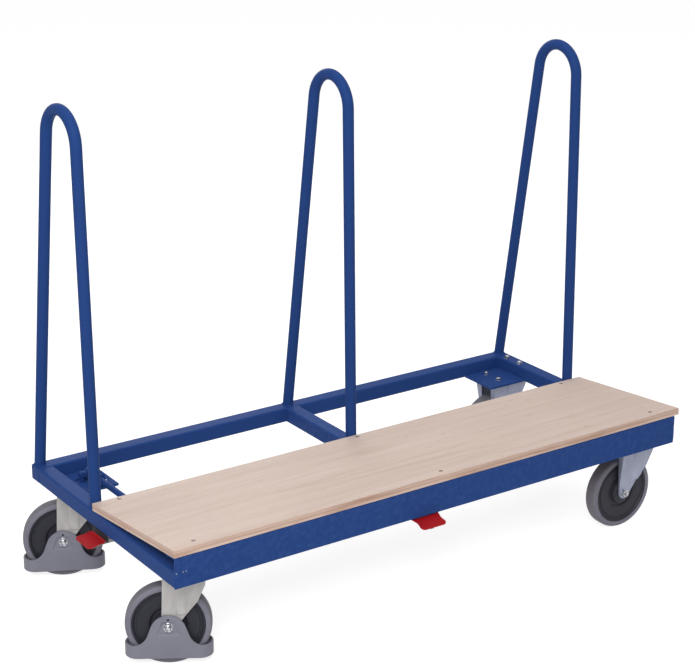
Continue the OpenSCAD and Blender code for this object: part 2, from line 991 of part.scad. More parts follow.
module brake_shoe(i) {
    color("black")
        at_swivel(i)
            difference() {
                translate([0, 0, wheel_r])
                    cylinder(d = shoe_d, h = shoe_top - wheel_r);
                translate([-trail, 0, wheel_r])
                    along_y()
                        cylinder(r = wheel_r + shoe_room, h = 2 * shoe_d, center = true);
                translate([0, 0, shoe_top - shoe_socket])
                    cylinder(d = plunger_d, h = shoe_socket + over);
            }
}

module shaft_y(d, l) {
    translate([brake_x, 0, shaft_z])
        along_y()
            cylinder(d = d, h = l, center = true);
}

module brake_shaft() {
    color("silver")
        shaft_y(shaft_d, 2 * (castor_y + shaft_tip));
}

module brake_cams() {
    color("silver")
        for (s = [-1, 1])
            difference() {
                translate([brake_x, s * castor_y + cam_w / 2, shaft_z])
                    along_y() {
                        cylinder(d = lever_hub, h = cam_w);
                        translate([-cam_arm, -cam_bar / 2, 0])
                            cube([cam_arm, cam_bar, cam_w]);
                        translate([-cam_arm, 0, 0])
                            cylinder(r = cam_nose, h = cam_w);
                    }
                shaft_y(shaft_d, frame_w);
            }
}

module link_fork() {
    color("silver")
        difference() {
            translate([brake_x, link_y + link_t / 2, shaft_z])
                along_y()
                    difference() {
                        union() {
                            cylinder(d = lever_hub, h = link_t);
                            translate([0, -link_bar / 2, 0])
                                cube([link_arm, link_bar, link_t]);
                            translate([link_arm - link_fork_l, -link_fork_h / 2, 0])
                                cube([2 * link_fork_l, link_fork_h, link_t]);
                        }
                        translate([link_arm - link_pin / 2 - link_fit, -link_pin / 2 - link_fit, -over])
                            cube([2 * link_fork_l, link_pin + 2 * link_fit, link_t + 2 * over]);
                    }
            shaft_y(shaft_d, frame_w);
        }
}

module shaft_x(d, x0, x1) {
    translate([x0, front_shaft_y, shaft_z])
        along_x()
            cylinder(d = d, h = x1 - x0);
}

module front_pedal_shaft() {
    color("silver")
        shaft_x(shaft_d, link_x - hub_l / 2, front_pedal_x + hub_l / 2 + shaft_tip);
}

module link_finger() {
    color("silver")
        difference() {
            translate([link_x - link_t / 2, front_shaft_y, shaft_z])
                along_x() {
                    cylinder(d = lever_hub, h = link_t);
                    translate([0, -link_bar / 2, 0])
                        cube([link_arm - link_t, link_bar, link_t]);
                    translate([link_arm - 2 * link_t, 0, link_t / 2])
                        rotate([-90, 0, -90])
                            cylinder(d = link_pin, h = 3 * link_t);
                }
            shaft_x(shaft_d, left, right);
        }
}

module shaft_brackets() {
    r = shaft_d / 2 + bracket_rim;
    color("royalblue") {
        for (s = [-1, 1])
            difference() {
                translate([brake_x, s * (frame_w / 2 - mount_w + bracket_in) + bracket_t / 2, 0])
                    along_y() {
                        translate([-r, frame_z + mount_t])
                            cube([2 * r, shaft_up - mount_t, bracket_t]);
                        translate([0, shaft_z, 0])
                            cylinder(r = r, h = bracket_t);
                    }
                shaft_y(shaft_d + 2 * run_fit, frame_w);
            }
        for (x = [link_x + bracket_step, front_pedal_x - bracket_step])
            difference() {
                translate([x - bracket_t / 2, 0, 0])
                    along_x() {
                        translate([front + front_t, shaft_z - r])
                            cube([front_shaft_in - front_t, 2 * r, bracket_t]);
                        translate([front_shaft_y, shaft_z, 0])
                            cylinder(r = r, h = bracket_t);
                    }
                shaft_x(shaft_d + 2 * run_fit, left, right);
            }
    }
}

// Pedals, drawn from the shaft's axis outwards along X

module at_end_pedal() {
    translate([brake_x, end_pedal_y, shaft_z])
        rotate([0, 0, 180])
            children();
}

module at_front_pedal() {
    translate([front_pedal_x, front_shaft_y, shaft_z])
        rotate([0, 0, -90])
            children();
}

// arm from its hub down and out to under the pedal, which it follows
module pedal_arm(reach, off, low, fall) {
    r = lever_hub / 2;
    difference() {
        translate([0, off, 0]) {
            translate([0, hub_l / 2, 0])
                along_y()
                    cylinder(r = r, h = hub_l);
            translate([0, arm_t / 2, 0])
                along_y()
                    linear_extrude(height = arm_t)
                        polygon([
                            [-r, 0],
                            [-r, -low - arm_bar],
                            [reach, -low - arm_bar],
                            [reach + arm_tip, -low - arm_bar - fall * arm_tip],
                            [reach + arm_tip, -low - fall * arm_tip],
                            [reach, -low],
                            [r, -low],
                            [r, 0]
                        ]);
        }
        along_y()
            cylinder(d = shaft_d, h = 4 * lever_hub, center = true);
    }
}

module pedal_plan(reach, l) {
    tip = reach + l;
    difference() {
        union() {
            translate([reach - pedal_tab, -pedal_w / 2])
                square([pedal_tab + l - pedal_r, pedal_w]);
            translate([tip - 2 * pedal_r, -pedal_w / 2 + pedal_r])
                square([2 * pedal_r, pedal_w - 2 * pedal_r]);
            for (s = [-1, 1])
                translate([tip - pedal_r, s * (pedal_w / 2 - pedal_r)])
                    circle(r = pedal_r);
        }
        for (s = [-1, 1])
            translate([reach + l * waist_share, s * (pedal_w / 2 + waist_r - waist)])
                circle(r = waist_r);
    }
}

module pedal_pad(reach, l, drop, low) {
    tip = reach + l;
    intersection() {
        translate([0, pedal_w, 0])
            along_y()
                linear_extrude(height = 2 * pedal_w)
                    polygon([
                        [reach - pedal_tab, -low],
                        [reach, -low],
                        [tip, -low - drop],
                        [tip, -low - drop + pedal_t],
                        [reach, -low + pedal_t],
                        [reach - pedal_tab, -low + pedal_t]
                    ]);
        translate([0, 0, -2 * low])
            linear_extrude(height = 2 * low)
                pedal_plan(reach, l);
    }
}

module end_pedal_arm() {
    color("silver")
        at_end_pedal()
            pedal_arm(end_reach, end_arm_off, pedal_low(end_pedal_gap), end_pedal_drop / end_pedal_l);
}

module end_pedal_pad() {
    color("firebrick")
        at_end_pedal()
            pedal_pad(end_reach, end_pedal_l, end_pedal_drop, pedal_low(end_pedal_gap));
}

module front_pedal_arm() {
    color("silver")
        at_front_pedal()
            pedal_arm(front_shaft_in, 0, pedal_low(front_pedal_gap), front_pedal_drop / front_pedal_l);
}

module front_pedal_pad() {
    color("firebrick")
        at_front_pedal()
            pedal_pad(front_shaft_in, front_pedal_l, front_pedal_drop, pedal_low(front_pedal_gap));
}

// Nodes

front_rail();
rear_rail();
left_end_rail();
right_end_rail();
deck_bearer();
cross_member_front();
cross_member_rear();
hoop(hoop_xs[0]);  // hoop_left
hoop(hoop_xs[1]);  // hoop_mid
hoop(hoop_xs[2]);  // hoop_right
deck_panel();
deck_screws();
rear_rail_caps();
castor_fasteners();
shaft_brackets();
brake_shaft();
brake_cams();
end_pedal_arm();
end_pedal_pad();
link_fork();
front_pedal_shaft();
front_pedal_arm();
front_pedal_pad();
link_finger();
for (i = [0 : 3]) {
    mount_plate(i);
    at_wheel(i) tyre();
    at_wheel(i) wheel_core();
    at_wheel(i) wheel_bearings();
}
for (i = [0, 1]) {
    swivel_plate(i);
    kingpin(i);
    swivel_fork(i);
    at_wheel(i) axle(fork_web + guard_t - panel_h, fork_web + guard_t);
    foot_guard(i);
    brake_plunger(i);
    brake_shoe(i);
}
for (i = [2, 3]) {
    fixed_fork(i);
    at_wheel(i) axle(fork_web, fork_web);
}
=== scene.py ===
import json
import math

import bmesh
import bpy
from mathutils import Matrix, Vector

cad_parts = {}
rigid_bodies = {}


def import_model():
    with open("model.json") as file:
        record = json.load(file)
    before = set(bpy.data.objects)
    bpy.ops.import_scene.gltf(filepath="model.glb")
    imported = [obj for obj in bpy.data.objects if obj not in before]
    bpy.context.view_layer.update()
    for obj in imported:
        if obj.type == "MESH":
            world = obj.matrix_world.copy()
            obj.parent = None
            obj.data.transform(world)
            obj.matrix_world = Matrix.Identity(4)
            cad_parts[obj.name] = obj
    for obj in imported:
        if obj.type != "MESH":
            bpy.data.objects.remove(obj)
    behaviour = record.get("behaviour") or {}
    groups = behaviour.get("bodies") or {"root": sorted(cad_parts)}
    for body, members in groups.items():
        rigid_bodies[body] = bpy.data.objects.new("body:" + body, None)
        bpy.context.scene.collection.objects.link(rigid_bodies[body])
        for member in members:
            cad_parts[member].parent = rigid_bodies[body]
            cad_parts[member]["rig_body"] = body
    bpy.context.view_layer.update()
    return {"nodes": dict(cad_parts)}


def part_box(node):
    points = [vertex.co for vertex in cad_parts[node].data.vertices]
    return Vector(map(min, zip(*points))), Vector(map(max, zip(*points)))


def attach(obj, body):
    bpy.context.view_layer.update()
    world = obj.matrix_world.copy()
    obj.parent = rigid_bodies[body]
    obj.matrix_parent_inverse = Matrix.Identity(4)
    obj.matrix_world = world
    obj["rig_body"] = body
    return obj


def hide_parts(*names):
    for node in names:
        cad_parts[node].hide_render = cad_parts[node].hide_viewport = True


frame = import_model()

NODES = frame["nodes"]
MM = 0.001
CORNERS = ("fl", "rl", "fr", "rr")

# sizes in millimetres, the same as in the part's source
LEFT, RIGHT, FRONT, BACK = -750.0, 750.0, -360.0, 360.0
FRAME_Z, FRAME_TOP, FRONT_Z = 245.0, 285.0, 321.0
RAIL, RAIL_R = 40.0, 4.5
FRONT_T, FRONT_FLANGE = 3.0, 40.0
DECK_D, DECK_T = 390.0, 18.0
SLOPE = math.asin((FRONT_Z - FRAME_TOP) / DECK_D)
HOOP_R, HOOP_X = 14.0, (-733.0, 0.0, 733.0)
# foot of each hoop leg across the frame, and its lean
HOOP_LEGS = ((344.0, 8.1), (45.0, 1.7))
SWIVEL_X, FIXED_X, CASTOR_Y = -658.0, 650.0, 267.0
TURNS = {"fl": -32.0, "rl": -27.0, "fr": 0.0, "rr": 0.0}
FORK_WEB = 26.5
GUARD_T, PANEL_H = 4.5, 2.0


# meshes

# hexagon heads: chamfer's rim as a share of the flats, ring inside it as a share of the rim, chamfer's angle
HEX_RIM, HEX_FLAT, HEX_CHAMFER = 0.475, 0.82, math.radians(28)
# threads: radius of the root and of the end as shares, length of the end's chamfer
ROOT_SHARE, TIP_SHARE, TIP_CHAMFER = 0.9, 0.78, 0.4
# (share of the radius, place) of the corners in one turn of a thread
THREAD_TURN = ((1.0, 0.1), (ROOT_SHARE, 0.5), (1.0, 0.9))
# weld beads: ripple of the pools and its steps, a second ripple and its turn per step,
# steps over which the ends taper and the square of the taper's least share
POOL, POOL_STEPS, WAVER, WAVER_TURN, TAPER, TAPER_LEAST = 0.13, 4.0, 0.06, 1.7, 3, 0.04
# a direction that no weld runs along
ASKEW = Vector((0.36, 0.48, 0.8))


def srgb(r, g, b):
    """Colour as seen on a screen, 0 to 255, in the linear form that shaders take."""
    def lin(v):
        v /= 255.0
        return v / 12.92 if v <= 0.04045 else ((v + 0.055) / 1.055) ** 2.4
    return (lin(r), lin(g), lin(b), 1.0)


def new_object(name, verts, faces, place=None):
    """Smooth object from points in millimetres, welded and with its faces turned outwards."""
    mesh = bpy.data.meshes.new(name)
    mesh.from_pydata([Vector(v) * MM for v in verts], [], faces)
    tidy = bmesh.new()
    tidy.from_mesh(mesh)
    bmesh.ops.remove_doubles(tidy, verts=tidy.verts, dist=1e-6)
    bmesh.ops.recalc_face_normals(tidy, faces=tidy.faces)
    tidy.to_mesh(mesh)
    tidy.free()
    obj = bpy.data.objects.new(name, mesh)
    bpy.context.scene.collection.objects.link(obj)
    if place is not None:
        obj.matrix_world = place
    mesh.polygons.foreach_set("use_smooth", [True] * len(mesh.polygons))
    return obj


def sharpen(obj, degrees):
    """Keeps edges crisp where faces meet at more than an angle, and flats flat."""
    obj.data.set_sharp_from_angle(angle=math.radians(degrees))
    even = obj.modifiers.new("even", "WEIGHTED_NORMAL")
    even.mode, even.weight, even.keep_sharp = "FACE_AREA_WITH_ANGLE", 50, True
    return obj


class Shape:
    """Collects points and faces of several forms for one object."""

    def __init__(self):
        self.verts, self.faces = [], []

    def add(self, verts, faces, place=None):
        base = len(self.verts)
        self.verts += [place @ Vector(v) for v in verts] if place else [Vector(v) for v in verts]
        self.faces += [[base + i for i in f] for f in faces]

    def grid(self, rings, close_u=True, close_v=False, place=None, cap_first=False, cap_last=False):
        """Quads between rings of equal length; u runs along a ring and v from ring to ring."""
        n, m = len(rings[0]), len(rings)
        faces = []
        for j in range(m if close_v else m - 1):
            a, b = j * n, (j + 1) % m * n
            for i in range(n if close_u else n - 1):
                k = (i + 1) % n
                faces.append([a + i, a + k, b + k, b + i])
        if cap_first:
            faces.append(list(range(n))[::-1])
        if cap_last:
            faces.append([(m - 1) * n + i for i in range(n)])
        self.add([p for ring in rings for p in ring], faces, place)

    def lathe(self, profile, segs, place=None, closed=False):
        """Turns (radius, y) points round the Y axis."""
        rings = []
        for r, y in profile:
            r = max(r, 1e-4)
            rings.append([(r * math.cos(2 * math.pi * i / segs), y, r * math.sin(2 * math.pi * i / segs))
                          for i in range(segs)])
        self.grid(rings, close_v=closed, place=place, cap_first=not closed and profile[0][0] > 0,
                  cap_last=not closed and profile[-1][0] > 0)

    def hex_head(self, flats, y0, y1, place=None, both=False):
        """Hexagon with turned chamfers, from y0 to its outer end y1."""
        segs, rim = 48, flats * HEX_RIM
        rise = math.tan(HEX_CHAMFER) * (1 if y1 > y0 else -1)

        def ring(widest, y, lift):
            """Hexagon held to a radius, its corners moved back by the chamfer."""
            out = []
            for i in range(segs):
                a = 2 * math.pi * i / segs
                r = flats / 2 / math.cos((a % (math.pi / 3)) - math.pi / 6)
                held = min(r, widest)
                out.append((held * math.cos(a), y - lift * max(r - rim, 0) * rise, held * math.sin(a)))
            return out

        start = [ring(rim, y0, 0), ring(flats, y0, -1)] if both else [ring(flats, y0, 0)]
        self.grid(start + [ring(flats, y1, 1), ring(rim, y1, 0), ring(rim * HEX_FLAT, y1, 0)],
                  place=place, cap_first=True, cap_last=True)

    def thread(self, r, y0, y1, pitch, place=None):
        """Turned screw end from y0, inside the part that holds it, to its free end y1."""
        way = 1 if y1 > y0 else -1
        points = [(r, y0)]
        for k in range(int(abs(y1 - y0) / pitch - 0.5)):
            y = y0 + way * pitch * k
            points += [(r * share, y + way * at * pitch) for share, at in THREAD_TURN]
        points += [(r * ROOT_SHARE, y1 - way * TIP_CHAMFER), (r * TIP_SHARE, y1), (0.0, y1)]
        self.lathe(points, 32, place)

    def bead(self, path, r, closed=False):
        """Weld bead along a path, with the ripples that its pools leave."""
        n, segs = len(path), 10
        rings = []
        for i, p in enumerate(path):
            before = path[i - 1] if closed or i else p
            after = path[(i + 1) % n] if closed or i < n - 1 else p
            along = (after - before).normalized()
            side = along.cross(ASKEW).normalized()
            rise = side.cross(along)
            size = r * (1 + POOL * math.sin(2 * math.pi * i / POOL_STEPS) + WAVER * math.sin(WAVER_TURN * i))
            if not closed:
                size *= math.sqrt(max(min(i, n - 1 - i, TAPER) / TAPER, TAPER_LEAST))
            rings.append([p + size * (math.cos(a) * side + math.sin(a) * rise)
                          for a in (2 * math.pi * k / segs for k in range(segs))])
        self.grid(rings, close_v=closed, cap_first=not closed, cap_last=not closed)

    def object(self, name, place=None):
        return new_object(name, self.verts, self.faces, place)


def arc(cx, cy, r, a0, a1, n):
    """Points of an arc, angles in degrees."""
    return [(cx + r * math.cos(math.radians(a0 + (a1 - a0) * i / n)),
             cy + r * math.sin(math.radians(a0 + (a1 - a0) * i / n))) for i in range(n + 1)]


def rounded(corners, radii, steps=7):
    """Outline whose corners are arcs of the given radii."""
    out = []
    for i, r in enumerate(radii):
        p = Vector(corners[i])
        a = (Vector(corners[i - 1]) - p).normalized()
        b = (Vector(corners[(i + 1) % len(corners)]) - p).normalized()
        if r == 0:
            out.append(p)
            continue
        half = a.angle(b) / 2
        centre = p + (a + b).normalized() * r / math.sin(half)
        first, last = p + a * r / math.tan(half) - centre, p + b * r / math.tan(half) - centre
        start = math.atan2(first.y, first.x)
        sweep = (math.atan2(last.y, last.x) - start + math.pi) % (2 * math.pi) - math.pi
        turns = [start + sweep * k / steps for k in range(steps + 1)]
        out += [centre + Vector((math.cos(t), math.sin(t))) * r for t in turns]
    return out


def inset(outline, depth):
    """Outline, given anticlockwise, moved inwards."""
    out = []
    for i, p in enumerate(outline):
        before, after = outline[i - 1], outline[(i + 1) % len(outline)]
        along = ((p - before).normalized() + (after - p).normalized()).normalized()
        out.append(p + Vector((-along.y, along.x)) * depth)
    return out


def smoothstep(a, b, x):
    """Soft step from 0 at a to 1 at b."""
    t = min(max((x - a) / (b - a), 0.0), 1.0)
    return t * t * (3 - 2 * t)


def wheel_place(c):
    """Frame at a wheel's middle: X towards the swivel pin, Y along the axle."""
    lo, hi = (Vector(v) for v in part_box("tyre_" + c))
    return Matrix.Translation((lo + hi) / 2) @ Matrix.Rotation(math.radians(TURNS[c]), 4, "Z")


def upright(x, y, z=0.0):
    """Frame whose Y axis stands up at a place, in millimetres, for turned forms."""
    return Matrix.Translation((x, y, z)) @ Matrix.Rotation(math.pi / 2, 4, "X")


def dress(obj, slot, body):
    """Puts a piece on a body, with its slot and its finish."""
    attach(obj, body)
    obj.data.materials.clear()
    obj.data.materials.append(FINISH[slot])
    return obj


def stands_for(obj, slot, *nodes):
    """Puts a piece on its nodes' body in their place."""
    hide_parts(*nodes)
    return dress(obj, slot, NODES[nodes[0]]["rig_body"])


def joins(obj, slot, node):
    """Adds a piece that has no node of its own to the body of another."""
    return dress(obj, slot, NODES[node]["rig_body"])


# materials

class Mat:
    """Material with short calls for the nodes in front of its shader."""

    def __init__(self, name, **sockets):
        self.mat = bpy.data.materials.new(name + "_finish")
        self.mat.use_nodes = True
        self.tree = self.mat.node_tree
        self.shader = self.tree.nodes["Principled BSDF"]
        for key, value in sockets.items():
            self.shader.inputs[key.replace("_", " ")].default_value = value
        coords = self.tree.nodes.new("ShaderNodeTexCoord")
        self.place, self.normal = coords.outputs["Object"], coords.outputs["Normal"]

    def feed(self, socket, value):
        if isinstance(value, bpy.types.NodeSocket):
            self.tree.links.new(value, socket)
        else:
            socket.default_value = value

    def put(self, kind, **given):
        node = self.tree.nodes.new("ShaderNode" + kind)
        for key, value in given.items():
            if key in node.inputs:
                self.feed(node.inputs[key], value)
            else:
                setattr(node, key, value)
        return node.outputs[0]

    def moved(self, scale=(1, 1, 1), turn=(0, 0, 0), at=None):
        return self.put("Mapping", Vector=at or self.place, Scale=scale, Rotation=turn)

    def noise(self, scale, detail=3.0, rough=0.5, at=None, twist=0.0):
        return self.put("TexNoise", Vector=at or self.place, Scale=scale, Detail=detail, Roughness=rough,
                        Distortion=twist)

    def math(self, op, a, b=0.0):
        node = self.tree.nodes.new("ShaderNodeMath")
        node.operation = op
        for socket, value in zip(node.inputs, (a, b)):
            self.feed(socket, value)
        return node.outputs[0]

    def remap(self, value, a0, a1, b0, b1):
        node = self.tree.nodes.new("ShaderNodeMapRange")
        for socket, v in zip(node.inputs, (value, a0, a1, b0, b1)):
            self.feed(socket, v)
        return node.outputs[0]

    def ramp(self, value, *stops):
        node = self.tree.nodes.new("ShaderNodeValToRGB")
        items = node.color_ramp.elements
        while len(items) < len(stops):
            items.new(0.5)
        for item, (at, colour) in zip(items, stops):
            item.position, item.color = at, colour
        self.feed(node.inputs[0], value)
        return node.outputs[0]

    def mix(self, a, b, share):
        node = self.tree.nodes.new("ShaderNodeMix")
        node.data_type = "RGBA"
        for k, value in ((0, share), (6, a), (7, b)):
            self.feed(node.inputs[k], value)
        return node.outputs[2]

    def split(self, vector):
        node = self.tree.nodes.new("ShaderNodeSeparateXYZ")
        self.feed(node.inputs[0], vector)
        return node.outputs

    def edges(self, low, high):
        """Share from 0 to 1 on the model's outer edges."""
        worn = self.tree.nodes.new("ShaderNodeNewGeometry").outputs["Pointiness"]
        return self.remap(worn, low, high, 0.0, 1.0)

    def bump(self, height, depth, strength=1.0):
        node = self.tree.nodes.new("ShaderNodeBump")
        node.inputs["Strength"].default_value = strength
        node.inputs["Distance"].default_value = depth
        self.feed(node.inputs["Height"], height)
        self.tree.links.new(node.outputs[0], self.shader.inputs["Normal"])

    def done(self, colour, rough):
        self.feed(self.shader.inputs["Base Color"], colour)
        self.feed(self.shader.inputs["Roughness"], rough)
        return self.mat


def painted(name, dark, mid, low, high, edge_rub_and_highlight=None):
    """Powder coat: even colour, faint orange peel and, where asked, lighter edges that are partly rubbed
    paint and partly a painted highlight.
    """
    m = Mat(name, Specular_IOR_Level=0.03)
    colour = m.ramp(m.noise(1.6, 2), (0.3, dark), (0.7, mid))
    # lighter edges: partly rubbed paint, partly a painted highlight along the edges
    if edge_rub_and_highlight:
        edge_rub_and_highlight_share = m.math("MULTIPLY", m.edges(0.53, 0.6), m.remap(m.noise(70, 4), 0.42, 0.7, 0.0, 0.4))
        colour = m.mix(colour, edge_rub_and_highlight, edge_rub_and_highlight_share)
    m.bump(m.noise(560, 2), 0.0003, 0.03)
    return m.done(colour, m.remap(m.noise(3, 2), 0.3, 0.7, low, high))


def birch_ply():
    """Plywood: long pale grain and small flecks on the faces, plies on the cut edges."""
    m = Mat("plywood", Specular_IOR_Level=0.25)
    flat = m.moved(turn=(SLOPE, 0, 0))
    grain = m.noise(1.0, 5, 0.55, at=m.moved((2.4, 42, 20), at=flat), twist=0.7)
    fine = m.noise(1.0, 3, 0.6, at=m.moved((14, 300, 90), at=flat))
    fleck = m.noise(1.0, 2, 0.5, at=m.moved((26, 130, 60), at=flat))
    cloud = m.noise(2.6, 3)
    top = m.ramp(grain, (0.28, srgb(201, 179, 166)), (0.5, srgb(210, 190, 178)), (0.75, srgb(215, 197, 186)))
    top = m.mix(top, srgb(196, 170, 154), m.remap(fine, 0.52, 0.78, 0.0, 0.4))
    top = m.mix(top, srgb(160, 132, 116), m.remap(fleck, 0.66, 0.78, 0.0, 0.5))
    top = m.mix(top, srgb(205, 182, 172), m.remap(cloud, 0.45, 0.7, 0.0, 0.5))
    base = (FRONT * math.sin(SLOPE) + FRONT_Z * math.cos(SLOPE)) * MM
    wave = m.math("ADD", m.split(flat)[2], m.remap(m.noise(6, 2), 0.0, 1.0, -0.0012, 0.0012))
    depth = m.remap(wave, base, base + DECK_T * MM, 0.0, 1.0)
    pale, tan, brown = srgb(211, 186, 172), srgb(198, 169, 152), srgb(186, 153, 134)
    edge = m.ramp(depth, (0.0, pale), (0.28, pale), (0.36, tan), (0.46, brown), (0.56, tan), (0.66, pale),
                  (0.74, tan), (0.84, tan), (0.92, pale), (1.0, pale))
    streak = m.noise(1.0, 4, 0.6, at=m.moved((5, 5, 70), at=flat), twist=0.5)
    edge = m.mix(edge, srgb(168, 129, 108), m.remap(streak, 0.46, 0.68, 0.0, 0.75))
    tilt = m.put("VectorRotate", Vector=m.normal, rotation_type="X_AXIS", Angle=SLOPE)
    side = m.remap(m.math("ABSOLUTE", m.split(tilt)[2]), 0.5, 0.7, 1.0, 0.0)
    m.bump(fine, 0.0003, 0.2)
    return m.done(m.mix(top, edge, side), m.remap(grain, 0.2, 0.8, 0.66, 0.54))


def zinc(name, dark, pale, low, high, stretch=(40, 40, 9), metal=1.0, painted_dark_reflection=0.0):
    """Plated steel with soft streaks and finger marks and, where asked, dark patches that are a painted
    reflection.
    """
    m = Mat(name, Metallic=metal)
    streak = m.noise(1.0, 4, 0.55, at=m.moved(scale=stretch), twist=0.4)
    cloud = m.noise(22, 4)
    grain = m.noise(900, 2)
    colour = m.mix(m.ramp(streak, (0.3, dark), (0.7, pale)), pale, m.remap(cloud, 0.5, 0.8, 0.0, 0.5))
    # dark patches: a painted reflection of dark surroundings on shiny metal
    if painted_dark_reflection:
        colour = m.mix(colour, srgb(60, 60, 66), m.remap(m.noise(150, 2), 0.5, 0.6, 0.0, painted_dark_reflection))
    rough = m.math("ADD", m.remap(cloud, 0.3, 0.7, low, high), m.remap(grain, 0.3, 0.7, -0.03, 0.03))
    m.bump(grain, 0.0002, 0.12)
    return m.done(colour, rough)


# radius of a wheel, in metres, where the painted shade on its tread begins and where it is full
TREAD_FROM, TREAD_FULL = 0.0955, 0.0985


def moulded(name, dark, pale, low, high, grain=520, depth=0.0003, spec=0.3, tread=None):
    """Plastic or rubber with a fine moulded grain and slight handling marks; a wheel's tread is darkened as
    painted shade.
    """
    m = Mat(name, Specular_IOR_Level=spec)
    cloud = m.noise(16, 5, 0.6)
    fine = m.noise(grain, 3, 0.6)
    colour = m.ramp(cloud, (0.3, dark), (0.7, pale))
    colour = m.mix(colour, dark, m.remap(fine, 0.5, 0.75, 0.0, 0.45))
    edge = m.math("MULTIPLY", m.edges(0.52, 0.62), m.remap(m.noise(120, 3), 0.4, 0.7, 0.0, 0.35))
    colour = m.mix(colour, pale, edge)
    # painted shade: the tread, which faces away from the lamps, takes a darker colour
    if tread:
        x, _, z = m.split(m.place)
        out = m.math("SQRT", m.math("ADD", m.math("MULTIPLY", x, x), m.math("MULTIPLY", z, z)))
        tread_shade_share = m.math("MULTIPLY", m.remap(out, TREAD_FROM, TREAD_FULL, 0.0, 1.0),
                      m.remap(cloud, 0.3, 0.7, 0.75, 1.0))
        colour = m.mix(colour, tread, tread_shade_share)
    m.bump(fine, depth, 0.3)
    return m.done(colour, m.remap(cloud, 0.3, 0.7, low, high))


FINISH = {
    # the blue paint's last colour is its lighter edges: partly rubbed paint, partly a painted highlight
    "blue_paint": painted("blue_paint", srgb(40, 68, 127), srgb(42, 71, 131), 0.44, 0.48, srgb(62, 90, 148)),
    "plywood": birch_ply(),
    "dark_screw": zinc("dark_screw", srgb(92, 84, 80), srgb(126, 118, 112), 0.34, 0.46),
    # the bright zinc's dark patches are a painted reflection
    "bright_zinc": zinc("bright_zinc", srgb(166, 168, 174), srgb(206, 207, 211), 0.18, 0.28, painted_dark_reflection=0.7),
    "zinc_sheet": zinc("zinc_sheet", srgb(163, 160, 158), srgb(186, 183, 181), 0.34, 0.46, metal=0.25),
    "machined_steel": zinc("machined_steel", srgb(140, 140, 143), srgb(172, 172, 175), 0.26, 0.36),
    # the tyre's tread colour is painted shade
    "grey_tyre": moulded("grey_tyre", srgb(111, 110, 122), srgb(126, 125, 137), 0.52, 0.64,
                         tread=srgb(112, 109, 116)),
    "core_plastic": moulded("core_plastic", srgb(40, 40, 48), srgb(50, 50, 59), 0.42, 0.54, spec=0.2),
    "guard_plastic": moulded("guard_plastic", srgb(120, 120, 132), srgb(131, 131, 143), 0.46, 0.58),
    "black_rubber": moulded("black_rubber", srgb(26, 26, 28), srgb(40, 40, 42), 0.6, 0.75),
    "pedal_red": moulded("pedal_red", srgb(150, 12, 18), srgb(170, 22, 25), 0.36, 0.48,
                         grain=330, depth=0.0005, spec=0.2),
}
BLUE_ZINC = zinc("zinc_sheet_cool", srgb(135, 139, 158), srgb(160, 165, 186), 0.3, 0.42, metal=0.25)
TUBE_PAINT = painted("blue_paint_tube", srgb(38, 66, 124), srgb(40, 69, 128), 0.44, 0.48)

for name, obj in NODES.items():
    for held in obj.material_slots:
        if name.startswith("fixed_fork"):
            held.material = BLUE_ZINC
        elif name.startswith(("hoop", "kingpin", "brake_plunger")):
            held.material = TUBE_PAINT
        else:
            held.material = FINISH[held.material.name]


SOFT_SEGS, SOFT_ANGLE, FLAT_ANGLE = 2, math.radians(32), math.radians(0.6)


def soften(node, width):
    """Rounds a solid's edges without touching its mesh."""
    obj = NODES[node]
    weld = obj.modifiers.new("weld", "WELD")
    weld.merge_threshold = 1e-5
    flat = obj.modifiers.new("flat", "DECIMATE")
    flat.decimate_type, flat.angle_limit = "DISSOLVE", FLAT_ANGLE
    round_off = obj.modifiers.new("round", "BEVEL")
    round_off.width, round_off.segments = width * MM, SOFT_SEGS
    round_off.limit_method, round_off.angle_limit = "ANGLE", SOFT_ANGLE
    round_off.harden_normals = False
    even = obj.modifiers.new("even", "WEIGHTED_NORMAL")
    even.mode, even.weight, even.keep_sharp = "FACE_AREA_WITH_ANGLE", 50, False


# radius of the rounded edges of solids that are shown as they are
SOFT = {
    "deck_panel": 1.0, "left_end_rail": 0.6, "right_end_rail": 0.6,
    "mount_plate_fl": 0.8, "mount_plate_rl": 0.8, "mount_plate_fr": 0.8, "mount_plate_rr": 0.8,
    "shaft_brackets": 0.8, "swivel_plate_fl": 1.0, "swivel_plate_rl": 1.0,
    "swivel_fork_fl": 1.1, "swivel_fork_rl": 1.1, "fixed_fork_fr": 1.1, "fixed_fork_rr": 1.1,
    "brake_cams": 0.8, "end_pedal_arm": 1.2, "front_pedal_arm": 1.2, "link_fork": 0.8, "link_finger": 0.8,
    "brake_shaft": 0.8, "front_pedal_shaft": 0.8, "kingpin_fl": 0.6, "kingpin_rl": 0.6,
    "brake_shoe_fl": 1.0, "brake_shoe_rl": 1.0, "wheel_bearings_fl": 0.5, "wheel_bearings_rl": 0.5,
    "wheel_bearings_fr": 0.5, "wheel_bearings_rr": 0.5, "brake_plunger_fl": 0.6, "brake_plunger_rl": 0.6,
}
for node, width in SOFT.items():
    soften(node, width)


# wheels

def both_sides(half):
    """Profile of one side and its mirror image, as one loop round the section."""
    return half + [(r, -y) for r, y in reversed(half)]


# middle of the tyre's shoulder, across and out, and its radius
SHOULDER_Y, SHOULDER_OUT, SHOULDER_R = 9.9, 90.6, 9.0
# half sections of a wheel as (radius, y): the tyre's bead, wall, shoulder and tread
TYRE_HALF = ([(85.0, 16.6), (85.2, 17.6), (85.8, 18.4), (86.8, 18.8), (88.0, 18.95), (89.0, 19.0),
              (89.4, 18.75), (89.8, 18.75), (90.2, 18.98)]
             + [(r, y) for y, r in arc(SHOULDER_Y, SHOULDER_OUT, SHOULDER_R, 0, 84, 12)]
             + [(99.75, 6.0), (99.93, 3.0)])
